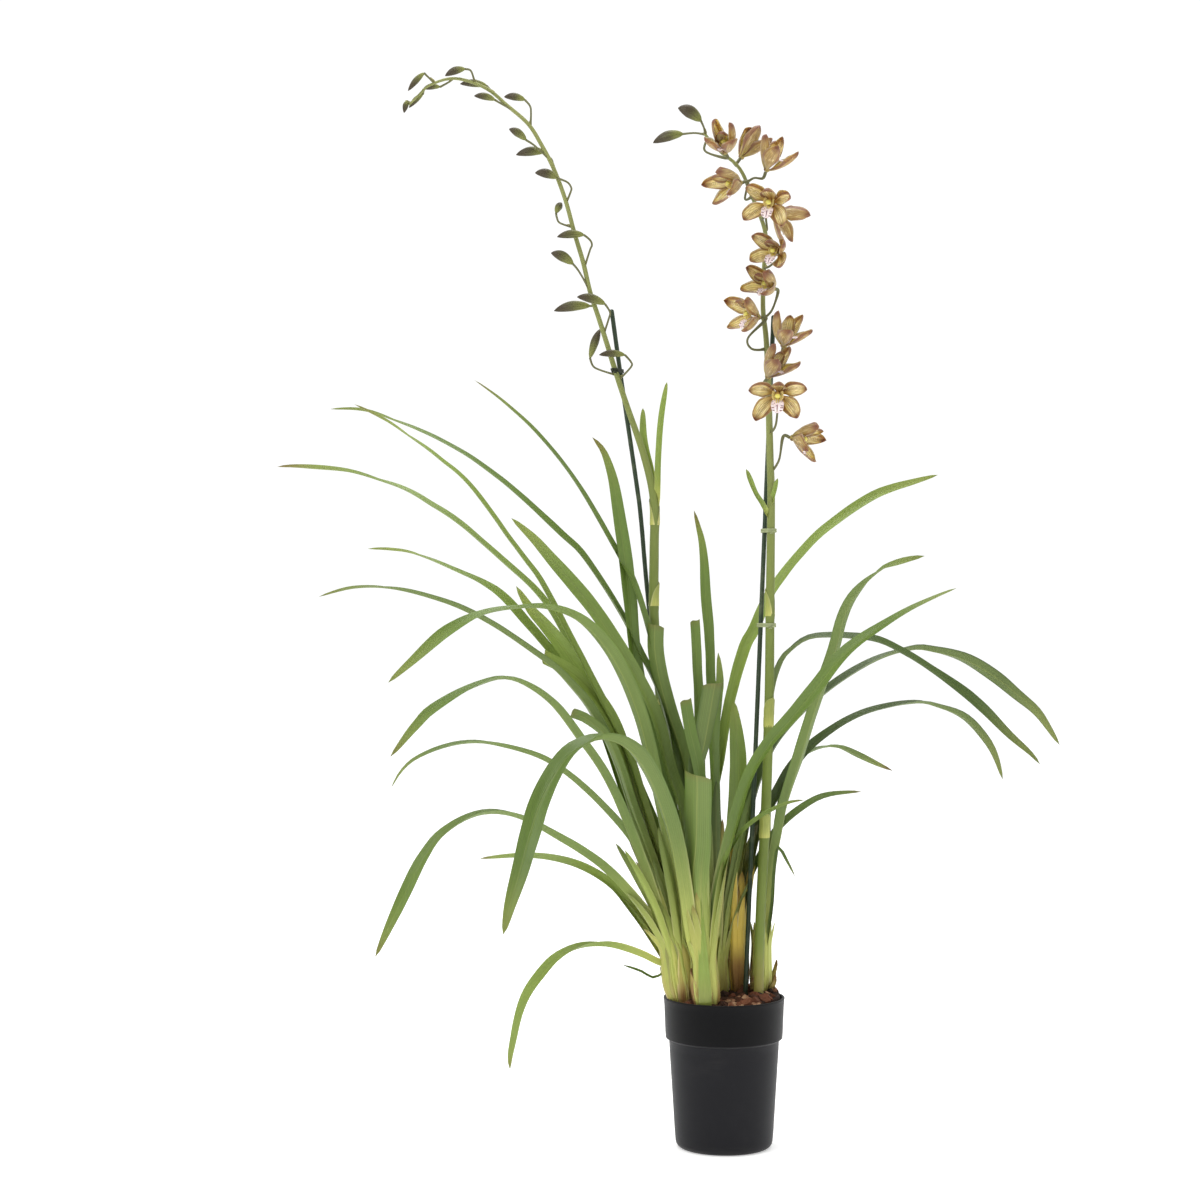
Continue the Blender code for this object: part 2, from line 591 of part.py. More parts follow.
def turned(name, profile, sides):
    """A closed turned body from (radius, height) pairs that start and end on the axis."""
    corners = [(0.0, 0.0, profile[0][1])]
    for radius, height in profile[1:-1]:
        for step in range(sides):
            angle = math.tau * step / sides
            corners.append((radius * math.cos(angle), radius * math.sin(angle), height))
    corners.append((0.0, 0.0, profile[-1][1]))
    faces = [(0, 1 + step, 1 + (step + 1) % sides) for step in range(sides)]
    for ring in range(len(profile) - 3):
        low = 1 + ring * sides
        for step in range(sides):
            near = (step + 1) % sides
            faces.append((low + step, low + near, low + near + sides, low + step + sides))
    last = 1 + (len(profile) - 3) * sides
    top = len(corners) - 1
    faces += [(last + step, last + (step + 1) % sides, top) for step in range(sides)]
    return closed_mesh(name, corners, faces)


def cylinder(name, x, y, low, high, radius, sides=16):
    path = [(Vector((x, y, low)), radius), (Vector((x, y, high)), radius)]
    return tube(name, path, sides)


def pot():
    """A nursery pot with a deep plain collar, a rolled rim and drain holes in its floor."""
    collar_foot = POT_HEIGHT - POT_COLLAR_HEIGHT
    bend = POT_CORNER * (1.0 - math.sqrt(0.5))
    profile = [
        (0.0, 0.0),
        (POT_BASE_RADIUS - POT_CORNER, 0.0),
        (POT_BASE_RADIUS - bend, bend),
        (POT_BASE_RADIUS + 0.3, POT_CORNER),
        (POT_WAIST_RADIUS, collar_foot - 1.0),
        (POT_COLLAR_FOOT_RADIUS, collar_foot),
        (POT_RIM_RADIUS - 0.4, POT_HEIGHT - 1.5),
        (POT_RIM_RADIUS - 0.6, POT_HEIGHT),
        (POT_RIM_RADIUS - 2.2, POT_HEIGHT),
        (POT_COLLAR_FOOT_RADIUS - POT_WALL, collar_foot + 2.0),
        (POT_WAIST_RADIUS - POT_WALL, collar_foot - 2.0),
        (POT_BASE_RADIUS - POT_WALL, POT_CORNER),
        (POT_BASE_RADIUS - POT_CORNER, POT_FLOOR),
        (0.0, POT_FLOOR),
    ]
    holes = []
    for index in range(DRAIN_HOLES):
        angle = math.tau * (index + 0.5) / DRAIN_HOLES
        x = DRAIN_CIRCLE * math.cos(angle)
        y = DRAIN_CIRCLE * math.sin(angle)
        holes.append(cylinder(f"drain_{index}", x, y, -5.0, 8.0, DRAIN_RADIUS, 8))
    return combined("pot", turned("pot", profile, POT_SIDES), holes, "DIFFERENCE")


def bark_top(x, y):
    """Height of the bark, crowned in the middle and heaped towards the right rear."""
    share = min(1.0, math.hypot(x, y) / POT_COLLAR_FOOT_RADIUS)
    towards = math.cos(math.atan2(y, x) - BARK_HEAP_ANGLE)
    return BARK_EDGE_TOP + BARK_CROWN * (1 - share ** 2) + BARK_HEAP * max(0.0, towards) * share


def bark_body():
    """The filled inside of the pot, a seat gap clear of its wall."""
    gap = SEAT_GAP / math.cos(math.pi / POT_SIDES)
    collar_foot = POT_HEIGHT - POT_COLLAR_HEIGHT
    wall_top = POT_COLLAR_FOOT_RADIUS - POT_WALL - gap
    profile = [
        (0.0, POT_FLOOR + SEAT_GAP),
        (POT_BASE_RADIUS - POT_CORNER - gap, POT_FLOOR + SEAT_GAP),
        (POT_BASE_RADIUS - POT_WALL - gap, POT_CORNER + SEAT_GAP),
        (POT_WAIST_RADIUS - POT_WALL - gap, collar_foot - 2.0),
        (wall_top, collar_foot + 2.0 + SEAT_GAP),
        (wall_top + 0.8, BARK_EDGE_TOP),
        (wall_top * 0.62, BARK_EDGE_TOP),
        (wall_top * 0.30, BARK_EDGE_TOP),
        (0.0, BARK_EDGE_TOP),
    ]
    mesh = turned("bark", profile, POT_SIDES)
    for corner in mesh.vertices:
        if corner.co.z > (BARK_EDGE_TOP - 0.01) * MM:
            corner.co.z = bark_top(corner.co.x / MM, corner.co.y / MM) * MM
    return mesh


def chip(draw, index):
    """A split chunk of bark, laid flat with a random turn and tilt."""
    reach = (POT_COLLAR_FOOT_RADIUS - 12.0) * math.sqrt(draw.uniform(0.0, 1.0))
    angle = draw.uniform(0.0, math.tau)
    x = reach * math.cos(angle)
    y = reach * math.sin(angle)
    sizes = [draw.uniform(*CHIP_LENGTH), draw.uniform(*CHIP_BREADTH), draw.uniform(*CHIP_HEIGHT)]
    turn = Matrix.Rotation(draw.uniform(0.0, math.tau), 3, "Z")
    tilt = Matrix.Rotation(draw.uniform(-0.5, 0.5), 3, "X") @ Matrix.Rotation(
        draw.uniform(-0.4, 0.4), 3, "Y")
    middle = Vector((x, y, bark_top(x, y) + 0.6))
    corners = []
    for across in (-0.5, 0.5):
        for along in (-0.5, 0.5):
            for high in (-0.5, 0.5):
                taper = draw.uniform(0.72, 1.0)
                corner = Vector((across * sizes[0] * taper, along * sizes[1] * taper,
                                 high * sizes[2] * taper))
                corners.append(middle + turn @ tilt @ corner)
    faces = [(0, 1, 3, 2), (4, 6, 7, 5), (0, 4, 5, 1), (2, 3, 7, 6), (0, 2, 6, 4), (1, 5, 7, 3)]
    return closed_mesh(f"chip_{index}", corners, faces)


def bark():
    """Bark chips over the filled pot, with a plain hole for each bulb, spike and stake."""
    draw = random.Random(BARK_SEED)
    chips = [chip(draw, index) for index in range(BARK_CHIPS)]
    heaped = combined("bark", bark_body(), chips, "UNION")
    holes = []
    for name, (x, y, lean, radius, top) in BULBS.items():
        hole = radius * 0.82 + 1.4
        tilt_drop = radius * BULB_PROFILE[0][1] * abs(lean) / (top - BULB_FOOT)
        low = BULB_FOOT - tilt_drop - SEAT_GAP
        holes.append(cylinder(name + "_hole", x + lean * 0.12, y, low, 190.0, hole, 12))
    for route in (BUD_SPIKE_ROUTE, BLOOM_SPIKE_ROUTE):
        path = [(Vector(point[:3]), point[3] + 1.0) for point in route[:3]]
        path[0] = (path[0][0] - Vector((0.0, 0.0, SEAT_GAP)), path[0][1])
        holes.append(tube("spike_hole", path, 10))
    for name, route in STAKES.items():
        path = [(Vector(point), STAKE_RADIUS + 0.5) for point in route[:3]]
        if len(route) < 5:
            path = path[:2]
            path.append((path[1][0] + (path[1][0] - path[0][0]) * 0.3, path[1][1]))
        path[0] = (path[0][0] - Vector((0.0, 0.0, SEAT_GAP)), path[0][1])
        holes.append(tube(name + "_hole", path, 10))
    return combined("bark", heaped, holes, "DIFFERENCE")


def bulb(shoot):
    """A pseudobulb, seated in its hole and leaning a little."""
    x, y, lean, radius, top = BULBS[shoot]
    rings = []
    for share, breadth in BULB_PROFILE:
        middle = Vector((x + lean * share, y, BULB_FOOT + (top - BULB_FOOT) * share))
        rings.append((middle, radius * breadth))
    return tube(shoot, rings, BULB_SIDES)


def shoot(name):
    """A bulb and the leaves that grow from it, as one body."""
    leaves = [leaf(f"{name}_leaf_{index}", name, *rest) for index, rest in enumerate(LEAVES[name])]
    return combined(name, bulb(name), leaves, "UNION")


def spike_at(route, height):
    """Middle and radius of a spike at this height, on its way up."""
    curve = smoothed(route)
    for start, end in zip(curve, curve[1:]):
        if start[2] <= height <= end[2]:
            t = (height - start[2]) / (end[2] - start[2])
            point = [a + (b - a) * t for a, b in zip(start, end)]
            return Vector(point[:3]), point[3]
    return Vector(route[-1][:3]), route[-1][3]


def nearest_on(route, x, z):
    """The point of a spike that the front view shows nearest to (x, z)."""
    return min(
        (Vector(point[:3]) for point in smoothed(route, 12)),
        key=lambda point: (point.x - x) ** 2 + (point.z - z) ** 2,
    )


def stem_tube(name, route):
    path = []
    for sample, _ in stations(smoothed(route), 75.0, math.radians(20)):
        path.append((Vector(sample[:3]), sample[3]))
    return tube(name, path, SPIKE_SIDES)


def stalk_points(route, start, offset):
    """A pedicel's points: out of the stem's middle, through the route, moving off in depth."""
    root = nearest_on(route, *start[0])
    points = [root]
    for index, (x, z) in enumerate(start[1:]):
        depth = root.y + offset * (index + 1) / (len(start) - 1)
        points.append(seen_at(x, z, depth))
    return points


def bud(name, route, start, tip, breadth, offset):
    """A pedicel and its closed bud, one tube that swells and ends in a point."""
    points = stalk_points(route, start, offset)
    end = seen_at(*tip, points[-1].y + offset * 0.5)
    path = [(Vector(point), 1.0) for point in smoothed(points, 1 if len(points) > 3 else 2)]
    base = path[-1][0]
    sag = Vector((0.0, 0.0, breadth * 0.14))
    for share, swell in ((0.12, 0.34), (0.45, 0.52), (0.80, 0.36)):
        bow = sag * math.sin(math.pi * share)
        path.append((base.lerp(end, share) + bow, breadth * swell * BUD_FULLNESS))
    path.append((end, 0.0))
    return tube(name, path, PEDICEL_SIDES, tip=True)


def bract(name, spike_route, breadth, tip_depth, route):
    """A sheath leaf that hugs the stem at its foot."""
    root = nearest_on(spike_route, route[0][0], route[0][1])
    points = []
    for index, (x, z, seen) in enumerate(route):
        share = index / (len(route) - 1)
        depth = root.y + (tip_depth - root.y) * share
        points.append((*seen_at(x, z, depth), seen))
    side = 1.0 if route[-1][0] > route[0][0] else -1.0
    frames = blade_frames(smoothed(points, 3), breadth, side, False)
    return ribbon(name, frames, LEAF_THICKNESS)


def facing(bloom):
    """Hub and axes (right, up, forward) of a bloom."""
    (x, z), offset, (turn, tilt), roll, _, start = bloom
    root = nearest_on(BLOOM_SPIKE_ROUTE, *start[0])
    hub = seen_at(x, z, root.y + offset)
    turn = math.radians(turn)
    tilt = math.radians(tilt)
    forward = Vector((
        math.sin(turn) * math.cos(tilt), -math.cos(turn) * math.cos(tilt), math.sin(tilt)))
    right = forward.cross(Vector((0.0, 0.0, 1.0))).normalized()
    up = right.cross(forward)
    spin = Matrix.Rotation(math.radians(roll), 3, forward)
    return hub, spin @ right, spin @ up, forward


def bloom_pedicel(index, bloom):
    """The pedicel and ovary, which end a seat gap behind the bloom's hub."""
    hub, _, _, forward = facing(bloom)
    _, offset, _, _, _, start = bloom
    points = stalk_points(BLOOM_SPIKE_ROUTE, start, offset * 0.9)
    end = hub - forward * (HUB_RADIUS * 0.8 + SEAT_GAP)
    points[-1] = end - forward * OVARY_LENGTH
    points.append(end)
    curve = smoothed(points, 1)
    path = []
    for step, point in enumerate(curve):
        share = step / (len(curve) - 1)
        path.append((Vector(point), PEDICEL_RADIUS * (0.75 + 0.35 * share)))
    return tube(f"pedicel_{index}", path, PEDICEL_SIDES)


def petal_outline(share):
    """Breadth along a petal: a narrow claw, then broad, with a blunt end."""
    return min(1.0, 0.20 + 3.2 * share) * math.sqrt(max(0.0, 1.0 - share ** 4))


def petal_frames(axes, clock, lift, length, breadth, start):
    """Frames of a petal. clock is its direction round the face at the foot and tip, lift how far
    it comes forward there, both in degrees."""
    right, up, forward = axes
    frames = []
    point = start.copy()
    passed = 0.0
    for share in PETAL_STATIONS:
        middle = (share + passed) / 2
        turn = math.radians(clock[0] + (clock[1] - clock[0]) * middle)
        rise = math.radians(lift[0] + (lift[1] - lift[0]) * middle)
        radial = up * math.cos(turn) + right * math.sin(turn)
        along = radial * math.cos(rise) + forward * math.sin(rise)
        point = point + (along * (length * (share - passed)) if share else radial * HUB_RADIUS * 0.75)
        passed = share
        upper = forward * math.cos(rise) - radial * math.sin(rise)
        full = breadth * petal_outline(share)
        frames.append((point, along.cross(upper) * (full / 2), upper, full * 0.14))
    return frames


def bloom_petals(index, bloom):
    """Five petals on a small hub."""
    hub, *axes = facing(bloom)
    closed = bloom[4]
    start = hub - axes[2] * 0.6
    rise = 20.0 + 36.0 * closed
    curl = 40.0 + 62.0 * closed
    pieces = [("dorsal", (0, 0), (rise + 10, curl + 30), SEPAL_LENGTH * 0.92, SEPAL_BREADTH)]
    for side in (-1, 1):
        pieces.append((f"petal_{side}", (side * 58, side * 98), (rise, curl), PETAL_LENGTH,
                       PETAL_BREADTH))
        pieces.append((f"sepal_{side}", (side * 126, side * 150), (rise - 8, curl - 16),
                       SEPAL_LENGTH, SEPAL_BREADTH))
    blades = []
    for name, clock, lift, length, breadth in pieces:
        frames = petal_frames(axes, clock, lift, length, breadth, start)
        blades.append(ribbon(f"{name}_{index}", frames, PETAL_THICKNESS))
    back = hub - axes[2] * (HUB_RADIUS * 0.8)
    core = tube(f"hub_{index}", [(back, HUB_RADIUS * 0.6), (hub, HUB_RADIUS),
                                 (hub + axes[2] * HUB_FACE, HUB_RADIUS * 0.8)], 6)
    return combined(f"petals_{index}", core, blades, "UNION")


def bloom_column(index, bloom):
    """The column with its anther cap, standing on the hub."""
    hub, _, up, forward = facing(bloom)
    start = hub + forward * (HUB_FACE + SEAT_GAP) + up * 1.6
    path = []
    for share, swell in ((0.0, 0.55), (0.4, 0.7), (0.8, 1.0), (1.0, 0.6)):
        bow = up * (1.6 * math.sin(math.pi * share) - 1.2 * share)
        path.append((start + forward * (COLUMN_LENGTH * share) + bow, COLUMN_RADIUS * swell))
    return tube(f"column_{index}", path, 6)


def bloom_lip(index, bloom):
    """The lip: a tongue that comes forward and hangs, with a raised lobe at each side."""
    hub, right, up, forward = facing(bloom)
    start = hub + forward * (HUB_FACE + SEAT_GAP + PETAL_THICKNESS / 2) - up * 1.5
    snug = 1.0 - 0.42 * bloom[4]
    hang = 118.0 * (1.0 - 0.3 * bloom[4])
    tongue_frames = []
    point = start.copy()
    steps = 5
    for step in range(steps + 1):
        share = step / steps
        rise = math.radians(84.0 - hang * share ** 1.3)
        along = forward * math.sin(rise) - up * math.cos(rise)
        if step:
            point = point + along * (LIP_LENGTH * snug ** 0.5 / steps)
        upper = up * math.sin(rise) + forward * math.cos(rise)
        full = LIP_BREADTH * snug * (0.22 + 0.78 * math.sin(math.pi * min(1.0, share * 1.04)) ** 0.8)
        if step == steps:
            full = LIP_BREADTH * snug * 0.4
        tongue_frames.append((point, right * (full / 2), upper, full * 0.06))
    tongue = ribbon(f"lip_{index}", tongue_frames, PETAL_THICKNESS, cut_end=True)
    lobes = []
    for side in (-1, 1):
        out = right * side
        foot = start + forward * LOBE_FORWARD + out * LOBE_OUT * snug - up * 1.6
        rising = (up * 0.86 + out * 0.42 + forward * 0.28).normalized()
        inward = (up * 0.42 - out * 0.86).normalized()
        wide = rising.cross(inward)
        frames = [
            (foot + rising * (LOBE_HEIGHT * snug * share),
             wide * (LOBE_BREADTH * snug * breadth / 2), inward, 0.5)
            for share, breadth in ((0.0, 0.9), (0.5, 1.0), (1.0, 0.5))
        ]
        lobes.append(ribbon(f"lobe_{index}", frames, PETAL_THICKNESS, cut_end=True))
    return combined(f"lip_{index}", tongue, lobes, "UNION")


def bud_spike():
    pieces = [bud(f"bud_{index}", BUD_SPIKE_ROUTE, *rest) for index, rest in enumerate(BUDS)]
    pieces += [bract("bract", BUD_SPIKE_ROUTE, *rest) for rest in BUD_SPIKE_BRACTS]
    return combined("bud_spike", stem_tube("bud_spike", BUD_SPIKE_ROUTE), pieces, "UNION")


def bloom_spike():
    pieces = [bloom_pedicel(index, bloom) for index, bloom in enumerate(BLOOMS)]
    pieces += [bud("bud", BLOOM_SPIKE_ROUTE, *rest) for rest in BLOOM_SPIKE_BUDS]
    pieces += [bract("bract", BLOOM_SPIKE_ROUTE, *rest) for rest in BLOOM_SPIKE_BRACTS]
    return combined("bloom_spike", stem_tube("bloom_spike", BLOOM_SPIKE_ROUTE), pieces, "UNION")


def stake(name):
    return tube(name, [(Vector(point), STAKE_RADIUS) for point in STAKES[name]], STAKE_SIDES)


def stake_at(name, height):
    """Middle of a stake at this height."""
    for start, end in zip(STAKES[name], STAKES[name][1:]):
        if start[2] <= height <= end[2]:
            return Vector(start).lerp(Vector(end), (height - start[2]) / (end[2] - start[2]))
    return Vector(STAKES[name][-1])


def tie(name):
    """A band drawn round a stem and its stake."""
    height, spike, stake_name = TIES[name]
    route = BUD_SPIKE_ROUTE if spike == "bud" else BLOOM_SPIKE_ROUTE
    corners = []
    for level in (-0.5, 0.5):
        z = height + TIE_BAND * level
        stem, stem_radius = spike_at(route, z)
        held = ((stem, stem_radius), (stake_at(stake_name, z), STAKE_RADIUS))
        for grow in (SEAT_GAP + 0.25, SEAT_GAP + 0.25 + TIE_THICKNESS):
            for step in range(TIE_SIDES):
                angle = math.tau * step / TIE_SIDES
                out = Vector((math.cos(angle), math.sin(angle), 0.0))
                middle, radius = max(held, key=lambda item: item[0].dot(out) + item[1])
                corner = middle + out * (radius + grow)
                corners.append((corner.x, corner.y, z))
    faces = []
    inner_low, outer_low, inner_high, outer_high = (TIE_SIDES * index for index in range(4))
    for step in range(TIE_SIDES):
        near = (step + 1) % TIE_SIDES
        for first, second in ((inner_low, outer_low), (outer_low, outer_high),
                              (outer_high, inner_high), (inner_high, inner_low)):
            faces.append((first + step, second + step, second + near, first + near))
    return closed_mesh(name, corners, faces)


def main():
    clear_scene()
    plastic = material("pot_plastic", (0.018, 0.019, 0.021), 0.55)
    chips = material("bark_chips", (0.085, 0.038, 0.022), 0.9)
    green = material("leaf_green", (0.10, 0.20, 0.035), 0.42)
    stem_green = material("spike_green", (0.30, 0.36, 0.11), 0.5)
    brown = material("petal_brown", (0.36, 0.20, 0.055), 0.5)
    cream = material("lip_cream", (0.78, 0.60, 0.52), 0.5)
    yellow = material("column_yellow", (0.52, 0.44, 0.10), 0.4)
    coated = material("stake_green", (0.015, 0.030, 0.012), 0.45)
    tie_green = material("tie_green", (0.35, 0.42, 0.22), 0.5)
    place("pot", pot(), plastic, math.radians(30))
    place("bark", bark(), chips, math.radians(10))
    for name in BULBS:
        place(name, shoot(name), green)
    place("bud_spike", bud_spike(), stem_green)
    place("bloom_spike", bloom_spike(), stem_green)
    for index, bloom in enumerate(BLOOMS, 1):
        place(f"bloom_{index:02d}_petals", bloom_petals(index, bloom), brown)
        place(f"bloom_{index:02d}_lip", bloom_lip(index, bloom), cream)
        place(f"bloom_{index:02d}_column", bloom_column(index, bloom), yellow)
    for name in STAKES:
        place(name, stake(name), coated)
    for name in TIES:
        place(name, tie(name), tie_green)


main()
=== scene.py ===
"""Potted cymbidium orchid: the fine pieces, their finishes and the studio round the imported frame.

Everything is laid out in millimetres from the centre of the pot's underside, +Z up and the front
towards -Y, and turned into metres when its mesh is made. Routes are written as they look from the
front, level with the pot's axis, and get their depth from the lean of the leaf or stem.
"""

import json
import logging
import math
import random
from collections.abc import Callable, Sequence
from dataclasses import dataclass
from enum import Enum
from typing import Any

import bpy
from mathutils import Matrix, Vector

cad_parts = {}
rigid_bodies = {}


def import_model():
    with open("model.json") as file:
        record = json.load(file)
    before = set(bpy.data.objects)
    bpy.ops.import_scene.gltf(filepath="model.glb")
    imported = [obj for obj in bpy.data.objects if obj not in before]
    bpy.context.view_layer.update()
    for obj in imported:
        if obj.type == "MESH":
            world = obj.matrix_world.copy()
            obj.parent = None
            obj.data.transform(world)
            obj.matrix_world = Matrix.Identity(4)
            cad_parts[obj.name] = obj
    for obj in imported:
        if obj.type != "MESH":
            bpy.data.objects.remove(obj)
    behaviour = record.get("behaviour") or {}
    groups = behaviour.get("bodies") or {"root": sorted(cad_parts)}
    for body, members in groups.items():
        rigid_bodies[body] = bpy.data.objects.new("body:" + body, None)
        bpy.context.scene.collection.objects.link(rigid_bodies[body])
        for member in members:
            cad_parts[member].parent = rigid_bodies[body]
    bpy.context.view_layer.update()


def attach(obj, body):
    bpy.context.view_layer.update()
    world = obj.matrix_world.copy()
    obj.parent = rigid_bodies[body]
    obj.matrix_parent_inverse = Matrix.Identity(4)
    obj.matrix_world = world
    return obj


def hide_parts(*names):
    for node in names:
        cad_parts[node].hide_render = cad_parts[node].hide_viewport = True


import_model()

LOG = logging.getLogger("orchid")
MM = 0.001
BODY = "root"

# The front viewpoint that routes are seen from
VIEW_DISTANCE = 2400.0
VIEW_X = -124.0
VIEW_Z = 546.0
AWAY = Vector((0.0, 1.0, 0.0))
UPWARDS = Vector((0.0, 0.0, 1.0))

# Marks that every corner of a living piece carries for its finish
MARKS = ("share", "across", "tone", "under", "kind", "worn")

Colour = tuple[float, float, float, float]
Face = tuple[int, ...]
Spot = tuple[float, ...]
Route = Sequence[Spot]
SeenRoute = Sequence[tuple[float, float]]
Values = dict[str | int, Any]

# Bulbs: place in the bark, lean of the top, greatest radius and height of the top
BULB_FOOT = 128.0
BULB_PROFILE = (
    (0.0, 0.40), (0.16, 0.64), (0.34, 0.80), (0.54, 1.0), (0.74, 0.96), (0.90, 0.78), (1.0, 0.50),
)
BULBS = {
    "shoot_front_left": (-39.0, -11.0, -11.0, 16.0, 198.0),
    "shoot_front_middle": (-18.0, -36.0, -3.0, 12.5, 190.0),
    "shoot_rear_left": (-36.0, 18.0, -4.0, 12.0, 192.0),
    "shoot_rear_middle": (-6.0, 10.0, 0.0, 10.0, 188.0),
    "shoot_yellow": (15.5, 12.0, -1.5, 9.5, 214.0),
    "shoot_right": (36.0, 8.0, 2.0, 9.5, 200.0),
}

